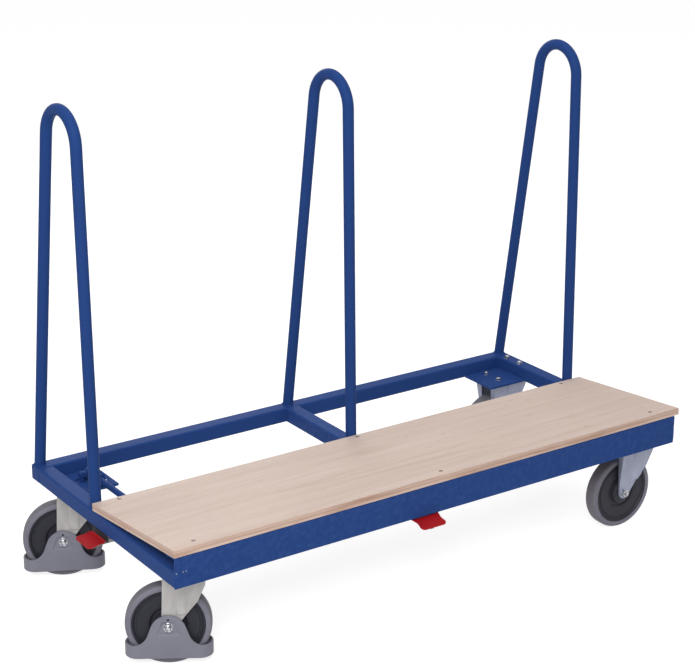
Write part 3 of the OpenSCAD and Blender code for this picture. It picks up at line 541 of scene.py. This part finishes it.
# the core's rim, sunk ring behind it, dished web, groove round the hub and hub
CORE_HALF = ([(85.0, 15.6), (84.7, 16.6), (83.8, 17.0), (81.6, 17.0), (80.7, 16.6), (79.8, 15.2),
              (78.2, 12.7), (77.0, 12.0), (73.8, 11.8), (72.9, 12.2), (72.3, 13.4), (71.6, 14.2),
              (70.4, 14.5), (58.0, 14.1), (45.0, 13.6), (43.2, 13.2), (42.2, 12.0), (41.2, 9.5), (39.8, 8.8),
              (35.0, 8.8), (33.5, 9.5), (32.6, 11.6), (31.7, 17.0), (30.8, 18.6), (29.4, 19.3), (25.8, 19.7),
              (24.8, 20.5), (16.2, 20.5), (14.8, 20.2), (14.1, 19.4), (14.02, 10.6), (9.1, 10.5)])
# lugs on the web: radius they stand at, turn of the first, count, base, (radius, height) of their form
LUG_AT, LUG_TURN, LUGS, LUG_BASE = 47.0, 117.0, 3, 13.2
LUG_FORM = ((3.4, 0.0), (3.2, 1.8), (2.7, 2.3), (0.0, 2.4))
# axle bolt: radius, flats, heights of its head and of the nut below its collar, end beyond the nut
AXLE_R, AXLE_FLATS, AXLE_HEAD_H, AXLE_NUT_H, AXLE_TIP = 6.0, 19.0, 7.5, 6.1, 3.0
# how far outside the nut's seat its plain shank ends and its thread begins, the thread's radius and pitch
SHANK_END, THREAD_FROM, THREAD_R, AXLE_PITCH = 5.0, 4.0, 5.95, 1.25
# washers: bore, radius, rim where it meets the faces, height of the rim's slope, thickness
SEAT_BORE, SEAT_R, SEAT_RIM, SEAT_SLOPE, SEAT_T = 6.4, 11.5, 11.1, 0.35, 1.5
# spacers between hub and fork: bore, radius, both ends
SPACER_BORE, SPACER_R, SPACER_IN, SPACER_OUT = 6.2, 9.0, 20.8, 23.5
# (radius, height over the washer) of the nut's locking collar and of the dished top of the bolt's head
COLLAR = ((8.6, 6.0), (8.6, 6.6), (8.0, 7.3), (7.3, 7.5), (6.5, 7.45), (6.3, 6.6))
DISH = ((0.0, 6.8), (5.6, 6.9), (6.6, 7.35), (7.2, 7.55), (7.7, 7.4))


def make_wheel(c):
    """Tyre and core of a wheel, turned from their sections."""
    place = wheel_place(c)
    tyre = Shape()
    tyre.lathe(both_sides(TYRE_HALF), 144, closed=True)
    stands_for(tyre.object("tyre_form_" + c, place), "grey_tyre", "tyre_" + c)
    core = Shape()
    core.lathe(both_sides(CORE_HALF), 120, closed=True)
    for side in (-1, 1):
        for k in range(LUGS):
            turn = Matrix.Rotation(-math.radians(LUG_TURN + 360.0 / LUGS * k), 4, "Y")
            lug = [(r, side * h) for r, h in LUG_FORM]
            core.lathe(lug, 20, place=turn @ Matrix.Translation((LUG_AT, side * LUG_BASE, 0)))
    stands_for(sharpen(core.object("core_form_" + c, place), 38), "core_plastic", "wheel_core_" + c)


def axle_form(c):
    """Axle bolt with its nut at the front, washers and spacers."""
    swivels = c in ("fl", "rl")
    nut = FORK_WEB + (GUARD_T - PANEL_H if swivels else 0.0)
    head = FORK_WEB + (GUARD_T if swivels else 0.0)
    s = Shape()
    shank = -nut - SHANK_END
    s.lathe([(0.0, shank), (AXLE_R, shank), (AXLE_R, head), (0.0, head)], 40)
    s.thread(THREAD_R, -nut - THREAD_FROM, -(nut + SEAT_T + AXLE_HEAD_H + AXLE_TIP), AXLE_PITCH)
    washer = ((SEAT_BORE, 0.0), (SEAT_RIM, 0.0), (SEAT_R, SEAT_SLOPE), (SEAT_R, SEAT_T - SEAT_SLOPE),
              (SEAT_RIM, SEAT_T), (SEAT_BORE, SEAT_T))
    spacer = ((SPACER_BORE, SPACER_IN), (SPACER_R, SPACER_IN),
              (SPACER_R, SPACER_OUT), (SPACER_BORE, SPACER_OUT))
    for way, seat in ((-1, nut), (1, head)):
        s.lathe([(r, way * (seat + h)) for r, h in washer], 56, closed=True)
        s.lathe([(r, way * y) for r, y in spacer], 48, closed=True)
    face = nut + SEAT_T
    s.hex_head(AXLE_FLATS, -face, -(face + AXLE_NUT_H), both=True)
    s.lathe([(r, -(face + h)) for r, h in COLLAR], 48)
    face = head + SEAT_T
    s.hex_head(AXLE_FLATS, face, face + AXLE_HEAD_H)
    s.lathe([(r, face + h) for r, h in DISH], 48)
    node = ("swivel_axle_" if swivels else "fixed_axle_") + c
    stands_for(sharpen(s.object("axle_form_" + c, wheel_place(c)), 34), "bright_zinc", node)


for c in CORNERS:
    make_wheel(c)
    axle_form(c)


# pressed ribs on the fork legs

FORK_FLAT, SWIVEL_TOP, FIXED_TOP, FLARE = 30.0, 132.0, 145.0, 18.0
# front edge of a fork below its knee: two points round the axle
EDGE_LOW, EDGE_KNEE = (12.9, -9.4), (68.0, 66.0)
# ribs: height, width of the sloping sides, rise of the ends as a share, depth of the sides in the leg
RIB_H, RIB_SLOPE, RIB_END, RIB_SINK = 3.4, 5.0, 0.1, 0.6
# how far a rib starts below the flare, stops below the leg's top and keeps back from the front edge
RIB_BELOW, RIB_SHORT, RIB_BACK = 0.5, 1.5, 0.4


def fork_edge(z):
    """How far a fork reaches before its axle at a height."""
    part = (z - EDGE_LOW[1]) / (EDGE_KNEE[1] - EDGE_LOW[1])
    return EDGE_LOW[0] + (EDGE_KNEE[0] - EDGE_LOW[0]) * min(part, 1.0)


def make_ribs(c, middle, half, top):
    """Broad raised band up the outside of both legs, cut off at the leg's front edge."""
    s = Shape()
    rows, columns = 40, 24
    low, high = FORK_FLAT - RIB_BELOW, top - RIB_SHORT
    for way in (-1, 1):
        rings = []
        for i in range(rows + 1):
            z = low + (high - low) * i / rows
            left, right = middle - half, min(middle + half, fork_edge(z) - RIB_BACK)
            face = FORK_WEB + max(z - FORK_FLAT, 0.0) * FLARE / (SWIVEL_TOP - FORK_FLAT)
            rise = RIB_END if i in (0, rows) else 1.0
            row = [(left, way * (face - RIB_SINK), z)]
            for k in range(columns + 1):
                x = left + (right - left) * k / columns
                h = RIB_H * rise * smoothstep(half, half - RIB_SLOPE, abs(x - middle))
                row.append((x, way * (face + h), z))
            rings.append(row + [(right, way * (face - RIB_SINK), z)])
        s.grid(rings, cap_first=True, cap_last=True)
    node = ("swivel_fork_" if c in ("fl", "rl") else "fixed_fork_") + c
    ribs = joins(sharpen(s.object("fork_ribs_" + c, wheel_place(c)), 50), "zinc_sheet", node)
    ribs.data.materials[0] = NODES[node].material_slots[0].material


for c in ("fl", "rl"):
    make_ribs(c, middle=30.0, half=13.0, top=SWIVEL_TOP)
for c in ("fr", "rr"):
    make_ribs(c, middle=37.0, half=21.0, top=FIXED_TOP)


# foot guards

GUARD_LOW, GUARD_HIGH = -80.0, -48.0
GUARD_HALF, GUARD_W = 96.8, FORK_WEB
DOME_H, DOME_R, BELL_W, FLANK = 29.0, 42.0, 84.0, math.radians(70.0)
FLANK_X, FLANK_Z = DOME_R * math.sin(FLANK), DOME_H - DOME_R * (1 - math.cos(FLANK))
FOOT_R = (math.tan(FLANK) * (BELL_W - FLANK_X) - FLANK_Z + GUARD_HIGH) / (1 / math.cos(FLANK) - 1)
FOOT_X = BELL_W - FOOT_R * math.sin(FLANK)
EYELET_D, EYELET_Z = 6.0, 18.8
# dark plugs in the eyelets, painted shade in the holes: clearance, depth below the face, softness, rim,
# radius and depth of the dish
SHADE_PLUG_FIT, SHADE_PLUG_SINK, SHADE_PLUG_SOFT, SHADE_PLUG_RIM, SHADE_PLUG_DISH_R, SHADE_PLUG_DISH = 0.02, 0.9, 0.3, 0.5, 0.9, 0.2
# panel round the axle nut: its lower and upper edge, half its width there, softness of its edges
PANEL_LOW, PANEL_TOP, PANEL_WIDE, PANEL_NARROW, PANEL_SOFT = -19.5, 12.5, 26.0, 14.0, 0.8


def bell_top(x):
    """Height of the guard's upper edge: dome, straight flank, hollow foot and level band."""
    x = abs(x)
    if x < FLANK_X:
        return DOME_H - DOME_R + math.sqrt(DOME_R ** 2 - x ** 2)
    if x < FOOT_X:
        return FLANK_Z - math.tan(FLANK) * (x - FLANK_X)
    if x < BELL_W:
        return GUARD_HIGH + FOOT_R - math.sqrt(FOOT_R ** 2 - (BELL_W - x) ** 2)
    return GUARD_HIGH


def guard_stations():
    """Places round the guard's loop: middle of the wall, outward direction and x on the front or rear."""
    straight, mid = GUARD_HALF - GUARD_W, GUARD_W + GUARD_T / 2
    steps, bend = 96, 26
    xs = [-straight + 2 * straight * i / steps for i in range(steps + 1)]
    out = []
    for way in (1, -1):
        out += [((way * x, -way * mid), (0, -way), x) for x in xs]
        for a in (math.pi * i / bend for i in range(1, bend)):
            nx, ny = way * math.sin(a), -way * math.cos(a)
            out.append(((way * straight + mid * nx, mid * ny), (nx, ny), straight + mid * abs(nx)))
    return out


def drill(obj, place, r, reach):
    """Cuts a round hole along Y through a piece."""
    tool = Shape()
    tool.lathe([(0.0, -reach), (r, -reach), (r, reach), (0.0, reach)], 32)
    cutter = tool.object("cutter", place)
    cut = obj.modifiers.new("hole", "BOOLEAN")
    cut.object, cut.operation, cut.solver = cutter, "DIFFERENCE", "EXACT"
    bpy.context.view_layer.update()
    holed = bpy.data.meshes.new_from_object(obj.evaluated_get(bpy.context.evaluated_depsgraph_get()))
    obj.modifiers.clear()
    plain, obj.data = obj.data, holed
    bpy.data.meshes.remove(plain)
    bpy.data.objects.remove(cutter)


def make_guard(c):
    """Foot guard as a wall round the wheel's foot, with a sunk panel on its front and drilled eyelets, each
    darkened by a dark plug as painted shade.
    """
    half, round_r, rows = GUARD_T / 2, 1.5, 60
    rings = []
    for (px, py), (nx, ny), x in guard_stations():
        top = bell_top(x)
        span = top - GUARD_LOW - 2 * round_r
        profile = []
        for i in range(rows + 1):
            z = GUARD_LOW + round_r + span * i / rows
            sunk = 0.0
            if ny < 0:
                part = (PANEL_TOP - z) / (PANEL_TOP - PANEL_LOW)
                edge = PANEL_NARROW + (PANEL_WIDE - PANEL_NARROW) * part
                sunk = PANEL_H * smoothstep(PANEL_SOFT, -PANEL_SOFT, abs(x) - edge)
                sunk *= smoothstep(PANEL_LOW - PANEL_SOFT, PANEL_LOW + PANEL_SOFT, z)
                sunk *= smoothstep(PANEL_TOP + PANEL_SOFT, PANEL_TOP - PANEL_SOFT, z)
            profile.append((half - sunk, z))
        profile += arc(half - round_r, top - round_r, round_r, 0, 90, 4)[1:]
        profile += arc(-half + round_r, top - round_r, round_r, 90, 180, 4)
        profile += [(-half, top - round_r - span * i / rows) for i in range(rows + 1)]
        profile += arc(-half + round_r, GUARD_LOW + round_r, round_r, 180, 270, 4)[1:]
        profile += arc(half - round_r, GUARD_LOW + round_r, round_r, 270, 360, 4)[:-1]
        rings.append([(px + nx * off, py + ny * off, z) for off, z in profile])
    s = Shape()
    s.grid(rings, close_v=True)
    obj = s.object("guard_form_" + c, wheel_place(c))
    drill(obj, wheel_place(c) @ Matrix.Translation((0, 0, EYELET_Z * MM)), EYELET_D / 2, 2 * GUARD_W)
    stands_for(sharpen(obj, 50), "guard_plastic", "foot_guard_" + c)
    # dark plugs set back in the eyelets, as painted shade in the holes
    hole_shade_plugs = Shape()
    face, r = GUARD_W + GUARD_T - SHADE_PLUG_SINK, EYELET_D / 2
    form = ((r - SHADE_PLUG_FIT, GUARD_W + SHADE_PLUG_SOFT), (r - SHADE_PLUG_FIT, face - SHADE_PLUG_SOFT), (r - SHADE_PLUG_RIM, face),
            (SHADE_PLUG_DISH_R, face - SHADE_PLUG_DISH), (0.0, face - SHADE_PLUG_DISH))
    for way in (-1, 1):
        hole_shade_plugs.lathe([(r, way * y) for r, y in form], 28, place=Matrix.Translation((0, 0, EYELET_Z)))
    joins(hole_shade_plugs.object("guard_hole_shade_" + c, wheel_place(c)), "black_rubber", "foot_guard_" + c)


for c in ("fl", "rl"):
    make_guard(c)


# pedals

PEDAL_WAIST, PEDAL_TIP, PEDAL_T, WAIST_AT = 34.0, 41.0, 5.0, 0.4
# (inset, height) of the loops over a pressed pad, from its underside to the floor of its tray
PAD_LOOPS = ((5.0, 0.0), (2.0, 1.5), (0.7, 2.3), (0.1, 3.1), (0.0, 3.9), (0.4, 4.7), (1.2, 5.0), (2.6, 5.0),
             (3.2, 4.8), (3.9, 4.3), (4.6, 4.2))


def make_pedal(node, turn, reach, drop, tab, root, root_r, waist_r, tip_r):
    """Pressed foot pad with a raised edge, a waist and a rounded flared tip, from a tab under the rail."""
    lo, hi = (Vector(v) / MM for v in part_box(node))
    middle = (lo + hi) / 2
    rail = (LEFT, middle.y) if turn == 180.0 else (middle.x, FRONT)
    place = Matrix.Translation((*rail, hi.z - PEDAL_T)) @ Matrix.Rotation(math.radians(turn), 4, "Z")
    half = [(-tab, -root), (WAIST_AT * reach, -PEDAL_WAIST), (reach, -PEDAL_TIP)]
    outline = rounded(half + [(x, -y) for x, y in reversed(half)],
                      (root_r, waist_r, tip_r, tip_r, waist_r, root_r), steps=9)
    loops = [[(p.x, p.y, h - drop * max(p.x, 0.0) / reach) for p in inset(outline, depth)]
             for depth, h in PAD_LOOPS]
    s = Shape()
    s.grid(loops, place=place)
    n = len(outline)
    across = [[i, i + 1, n - 2 - i, n - 1 - i] for i in range(n // 2 - 1)]
    for loop in (loops[0], loops[-1]):
        s.add(loop, across, place)
    stands_for(sharpen(s.object(node.replace("_pad", "_tread")), 40), "pedal_red", node)


make_pedal("end_pedal_pad", turn=180.0, reach=46.0, drop=7.0, tab=2.0, root=40.0,
           root_r=9.0, waist_r=30.0, tip_r=12.0)
make_pedal("front_pedal_pad", turn=-90.0, reach=37.2, drop=12.0, tab=12.0, root=41.5,
           root_r=6.0, waist_r=22.0, tip_r=11.0)

# upright plate of the end pedal, under the rail
PLATE_HALF, PLATE_T, PLATE_BACK, PLATE_GAP, PLATE_R = 37.0, 3.0, 3.0, 1.5, 5.0
# (inset, depth) of the loops over its softened edge
PLATE_EDGE = ((0.7, 0.0), (0.2, 0.2), (0.0, 0.7))
pad_lo, pad_hi = (Vector(v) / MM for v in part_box("end_pedal_pad"))
pad_y, plate_low = (pad_lo.y + pad_hi.y) / 2, pad_hi.z - PEDAL_T
plate = rounded([(-PLATE_HALF, plate_low), (PLATE_HALF, plate_low), (PLATE_HALF, FRAME_Z - PLATE_GAP),
                 (-PLATE_HALF, FRAME_Z - PLATE_GAP)], (PLATE_R,) * 4)
plate_loops = PLATE_EDGE + tuple((depth, PLATE_T - x) for depth, x in reversed(PLATE_EDGE))
upstand = Shape()
upstand.grid([[(LEFT + PLATE_BACK + x, pad_y + p.x, p.y) for p in inset(plate, depth)]
              for depth, x in plate_loops], cap_first=True, cap_last=True)
joins(sharpen(upstand.object("end_pedal_upstand"), 40), "black_rubber", "end_pedal_pad")


# frame

def deck_under(y):
    """Height of the deck's underside across the frame."""
    return FRONT_Z - (y - FRONT) * math.tan(SLOPE)


FOLD_R, EDGE_R = 5.5, 0.8
inner, lip = FRONT + FRONT_T, FRONT + FRONT_FLANGE
section = rounded([(FRONT, FRAME_Z), (inner, FRAME_Z), (inner, deck_under(inner) - FRONT_T),
                   (lip, deck_under(lip) - FRONT_T), (lip, deck_under(lip)), (FRONT, FRONT_Z)],
                  (EDGE_R, EDGE_R, FOLD_R - FRONT_T, EDGE_R, EDGE_R, FOLD_R))
rail_form = Shape()
rail_form.grid([[(x, y, z) for y, z in section] for x in (LEFT, RIGHT)], cap_first=True, cap_last=True)
stands_for(sharpen(rail_form.object("front_rail_form"), 30), "blue_paint", "front_rail")

# rear rail as a square tube whose closed ends are rounded over
END_R, END_STEPS = 4.0, 6
half = RAIL / 2
square = rounded([(-half, -half), (half, -half), (half, half), (-half, half)], (RAIL_R,) * 4)
ends = [(END_R * (1 - math.sin(a)), END_R * (1 - math.cos(a)))
        for a in (math.pi / 2 * k / END_STEPS for k in range(END_STEPS + 1))]
stops = [(depth, LEFT + x) for depth, x in ends] + [(depth, RIGHT - x) for depth, x in reversed(ends)]
rear_form = Shape()
rear_form.grid([[(x, BACK - half + p.x, FRAME_Z + half + p.y) for p in inset(square, depth)]
                for depth, x in stops], cap_first=True, cap_last=True)
stands_for(sharpen(rear_form.object("rear_rail_form"), 40), "blue_paint", "rear_rail", "rear_rail_caps")


def ring_path(x, y, z, rx, ry):
    """Points about a millimetre apart round an ellipse."""
    n = 4 * round(math.pi * (rx + ry) / 4)
    return [Vector((x + rx * math.cos(2 * math.pi * i / n), y + ry * math.sin(2 * math.pi * i / n), z))
            for i in range(n)]


def line_path(a, b):
    """Points about a millimetre apart from one end to the other."""
    a, b = Vector(a), Vector(b)
    n = max(round((b - a).length), 4)
    return [a.lerp(b, i / n) for i in range(n + 1)]


# beads: radius, shares of it for slim ones, how far they keep from corners, place round a hoop's foot
BEAD_R, SLIM, SLIMMEST = 1.9, 0.7, 0.6
KEEP, KEEP_MORE, HOOP_LIFT, HOOP_OUT = 3.0, 4.0, 0.4, 0.5
# how far the bead behind the front rail lies in its corner
CORNER_IN = 1.0
welds = Shape()


def weld(a, b, share=1.0):
    """Straight bead between two places."""
    welds.bead(line_path(a, b), BEAD_R * share)


for x in HOOP_X:
    for y, lean in HOOP_LEGS:
        foot = HOOP_R + HOOP_OUT
        ring = ring_path(x, y, FRAME_TOP + HOOP_LIFT, foot, foot / math.cos(math.radians(lean)))
        welds.bead(ring, BEAD_R, closed=True)
bearer_lo, bearer_hi = (Vector(v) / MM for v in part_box("deck_bearer"))
rear_y = BACK - RAIL
for way in (-1, 1):
    outer, inside = way * RIGHT, way * (RIGHT - RAIL)
    near, far = outer - way * KEEP, inside + way * KEEP
    low, high = FRAME_Z + KEEP, FRAME_TOP - KEEP
    weld((near, rear_y, FRAME_TOP), (far, rear_y, FRAME_TOP), SLIM)
    weld((outer, rear_y, FRAME_Z + KEEP_MORE), (outer, rear_y, FRAME_TOP - KEEP_MORE), SLIMMEST)
    weld((inside, rear_y, low), (inside, rear_y, high))
    weld((near, inner, FRAME_TOP), (far, inner, FRAME_TOP))
    weld((inside, inner, low), (inside, inner, high))
    weld((inside, bearer_lo.y + KEEP_MORE, FRAME_TOP), (inside, bearer_hi.y - KEEP_MORE, FRAME_TOP), SLIM)
    weld((outer, inner - CORNER_IN, low), (outer, inner - CORNER_IN, FRAME_TOP - CORNER_IN))
    for y in (bearer_lo.y, bearer_hi.y):
        weld((inside, y, low), (inside, y, high))
joins(welds.object("frame_welds"), "blue_paint", "rear_rail")

# plug welds through the front rail into the left end rail, finished in pale bare metal, partly a painted
# highlight for the glints on them
# place along the rail and radius of each, height, depth in the rail, distance below the frame's top
DABS, DAB_H, DAB_SINK, DAB_BELOW = ((-746.0, 1.8), (-729.0, 1.7), (-721.0, 1.5)), 0.9, 0.3, 2.0
dabs = Shape()
for x, r in DABS:
    face = Matrix.Translation((x, FRONT, FRAME_TOP - DAB_BELOW))
    dome = [(r * k, -DAB_H * (1 - k * k)) for k in (0.0, 0.3, 0.6, 0.85, 1.0)]
    dabs.lathe(dome + [(r, DAB_SINK)], 20, place=face)
joins(dabs.object("plug_welds"), "zinc_sheet", "front_rail").data.materials[0] = BLUE_ZINC


# fasteners

SCREW_X, SCREW_Y = (-686.0, 0.0, 686.0), (26.0, DECK_D - 14.0)
SCREW_R, SCREW_SINK, RECESS_R, RECESS_W, RECESS_H = 5.6, 0.5, 3.4, 0.9, 1.8
# turn of the cross in a head, softness of its edges, depth of the cone below and its share of the radius
CROSS_TURN, CROSS_SOFT, CONE_H, CONE_SHARE = 0.4, 0.25, 3.4, 0.55
# how far the recess's end slopes beyond its radius and within it, and how much it shallows outwards
RECESS_BEYOND, RECESS_WITHIN, RECESS_SHALLOW = 0.3, 0.5, 0.4
CROSS_COS, CROSS_SIN = math.cos(CROSS_TURN), math.sin(CROSS_TURN)
deck_place = Matrix.Translation((LEFT, FRONT, FRONT_Z)) @ Matrix.Rotation(-SLOPE, 4, "X")
screws = Shape()
for x in SCREW_X:
    for y in SCREW_Y:
        head = deck_place @ upright(x - LEFT, y, DECK_T - SCREW_SINK)
        segs, steps, rings = 64, 24, []
        for k in range(steps + 1):
            r = SCREW_R * k / steps
            ring = []
            for i in range(segs):
                px, pz = (r * f(2 * math.pi * i / segs + CROSS_TURN) for f in (math.cos, math.sin))
                narrow = min(abs(px * CROSS_COS + pz * CROSS_SIN), abs(pz * CROSS_COS - px * CROSS_SIN))
                sunk = RECESS_H * smoothstep(RECESS_W + CROSS_SOFT, RECESS_W - CROSS_SOFT, narrow)
                sunk *= smoothstep(RECESS_R + RECESS_BEYOND, RECESS_R - RECESS_WITHIN, r)
                sunk *= 1 - RECESS_SHALLOW * r / RECESS_R
                ring.append((max(px, 1e-4) if r == 0 else px, -sunk, pz))
            rings.append(ring)
        cone = [(px * CONE_SHARE, -CONE_H, pz * CONE_SHARE) for px, _, pz in rings[-1]]
        screws.grid(rings + [cone], place=head, cap_last=True)
stands_for(sharpen(screws.object("deck_screw_heads"), 35), "dark_screw", "deck_screws")

BOLT_R, NUT, HEAD_H, NUT_H, TIP, WASHER_R, WASHER_T = 4.0, 13.0, 5.3, 6.5, 2.0, 7.6, 0.9
WASHER_BORE, WASHER_SOFT, WASHER_RIM = 4.3, 0.3, 0.7
# thread: pitch, how far it begins inside the nut, how much smaller than the shank
BOLT_PITCH, THREAD_IN, THREAD_FIT = 1.0, 1.0, 0.05
PLATE_LOW, MOUNT_TOP, SWIVEL_HOLES = 240.0, 251.0, 40.0
FIXED_LOW, FIXED_HOLES, FIXED_ROWS = 239.0, 28.0, ((-3.0, 251.0), (73.0, FRAME_TOP))
bolts = Shape()


def bolt(x, y, low, high):
    """Hexagon bolt from below with a washer and a nut on top."""
    at = upright(x, y)
    seat, shank = high + WASHER_T, high + NUT_H - THREAD_IN
    bolts.hex_head(NUT, low, low - HEAD_H, place=at)
    bolts.lathe([(0.0, low), (BOLT_R, low), (BOLT_R, shank), (0.0, shank)], 24, place=at)
    bolts.lathe([(WASHER_BORE, high), (WASHER_R, high), (WASHER_R, high + WASHER_T * WASHER_RIM),
                 (WASHER_R - WASHER_SOFT, seat), (WASHER_BORE, seat)], 40, place=at, closed=True)
    bolts.hex_head(NUT, seat, high + NUT_H, place=at, both=True)
    bolts.thread(BOLT_R - THREAD_FIT, shank, high + NUT_H + TIP, BOLT_PITCH, place=at)


for side in (-1, 1):
    for dy in (-1, 1):
        for dx in (-1, 1):
            bolt(SWIVEL_X + dx * SWIVEL_HOLES, side * CASTOR_Y + dy * SWIVEL_HOLES, PLATE_LOW, MOUNT_TOP)
        for dx, top in FIXED_ROWS:
            bolt(FIXED_X + dx, side * CASTOR_Y + dy * FIXED_HOLES, FIXED_LOW, top)
stands_for(sharpen(bolts.object("castor_bolts"), 34), "bright_zinc", "castor_fasteners")


# stage, light and camera

def aim(obj, target):
    """Turns a lamp towards a place."""
    obj.rotation_euler = (Vector(target) - obj.location).to_track_quat("-Z", "Y").to_euler()


def seen_directly(tree):
    """1 for rays from the camera or from gloss and glass, else 0."""
    path = tree.nodes.new("ShaderNodeLightPath")
    total = path.outputs["Is Camera Ray"]
    for name in ("Is Glossy Ray", "Is Transmission Ray"):
        node = tree.nodes.new("ShaderNodeMath")
        node.operation = "MAXIMUM"
        tree.links.new(total, node.inputs[0])
        tree.links.new(path.outputs[name], node.inputs[1])
        total = node.outputs[0]
    return total


def switched(tree, otherwise, direct):
    """One level for light that falls on the object and another for what is seen."""
    level = tree.nodes.new("ShaderNodeMapRange")
    level.inputs["To Min"].default_value, level.inputs["To Max"].default_value = otherwise, direct
    tree.links.new(seen_directly(tree), level.inputs["Value"])
    return level.outputs[0]


WORLD_LEVEL, FLOOR_TONE, FLOOR_SEEN, FLOOR_LIFT = 0.35, 0.8, 0.5, 0.8
world = bpy.data.worlds.new("studio")
bpy.context.scene.world = world
world.use_nodes = True
tree = world.node_tree
tree.nodes["Background"].inputs["Color"].default_value = (1, 1, 1, 1)
tree.links.new(switched(tree, WORLD_LEVEL, 1.0), tree.nodes["Background"].inputs["Strength"])

FLOOR_HALF = 9000.0
edges = (-FLOOR_HALF, FLOOR_HALF)
floor = Shape()
floor.grid([[(x, y, 0.0) for x in edges] for y in edges], close_u=False)
ground = floor.object("floor")
ground_mat = bpy.data.materials.new("floor_pale")
ground_mat.use_nodes = True
tree = ground_mat.node_tree
tree.nodes.remove(tree.nodes["Principled BSDF"])
matt = tree.nodes.new("ShaderNodeBsdfDiffuse")
tree.links.new(switched(tree, FLOOR_TONE, FLOOR_SEEN), matt.inputs["Color"])
glow = tree.nodes.new("ShaderNodeEmission")
tree.links.new(switched(tree, 0.0, FLOOR_LIFT), glow.inputs["Strength"])
both = tree.nodes.new("ShaderNodeAddShader")
tree.links.new(matt.outputs[0], both.inputs[0])
tree.links.new(glow.outputs[0], both.inputs[1])
tree.links.new(both.outputs[0], tree.nodes["Material Output"].inputs["Surface"])
ground.data.materials.append(ground_mat)

# lamps: name, place and width in metres, power; all look at one place
LAMPS = (("key", (-2.9, -3.0, 3.5), 2.4, 160.0), ("top", (0.2, 0.4, 4.2), 3.2, 38.0),
         ("fill", (3.4, -2.2, 2.2), 2.6, 9.0), ("back", (1.2, 4.0, 1.7), 2.6, 30.0))
LAMPS_AIM = (0.0, 0.0, 0.4)
for name, at, size, watts in LAMPS:
    lamp = bpy.data.lights.new(name, "AREA")
    lamp.shape, lamp.size, lamp.energy = "DISK", size, watts
    light = bpy.data.objects.new(name, lamp)
    bpy.context.scene.collection.objects.link(light)
    light.location = at
    aim(light, LAMPS_AIM)

# camera fitted to the photo: place in metres, angles in degrees, focal length in the photo's pixels
CAM_AT = Vector((-2.505834, -3.530588, 2.122741))
CAM_YAW, CAM_PITCH, CAM_ROLL = (math.radians(v) for v in (34.873, -19.549, 0.513))
PHOTO_W, FOCAL_PX, SENSOR, CAM_FAR = 695, 1837.663, 36.0, 50.0
look = Vector((math.sin(CAM_YAW) * math.cos(CAM_PITCH), math.cos(CAM_YAW) * math.cos(CAM_PITCH),
               math.sin(CAM_PITCH)))
right = look.cross(Vector((0, 0, 1))).normalized()
up = right.cross(look)
level_right = right * math.cos(CAM_ROLL) + up * math.sin(CAM_ROLL)
level_up = up * math.cos(CAM_ROLL) - right * math.sin(CAM_ROLL)
camera = bpy.data.objects.new("camera", bpy.data.cameras.new("camera"))
bpy.context.scene.collection.objects.link(camera)
turn = Matrix((level_right, level_up, -look)).transposed()
camera.matrix_world = Matrix.Translation(CAM_AT) @ turn.to_4x4()
camera.data.sensor_fit, camera.data.sensor_width = "HORIZONTAL", SENSOR
camera.data.lens = FOCAL_PX * SENSOR / PHOTO_W
camera.data.clip_end = CAM_FAR
bpy.context.scene.camera = camera
bpy.context.scene.view_settings.view_transform = "Standard"
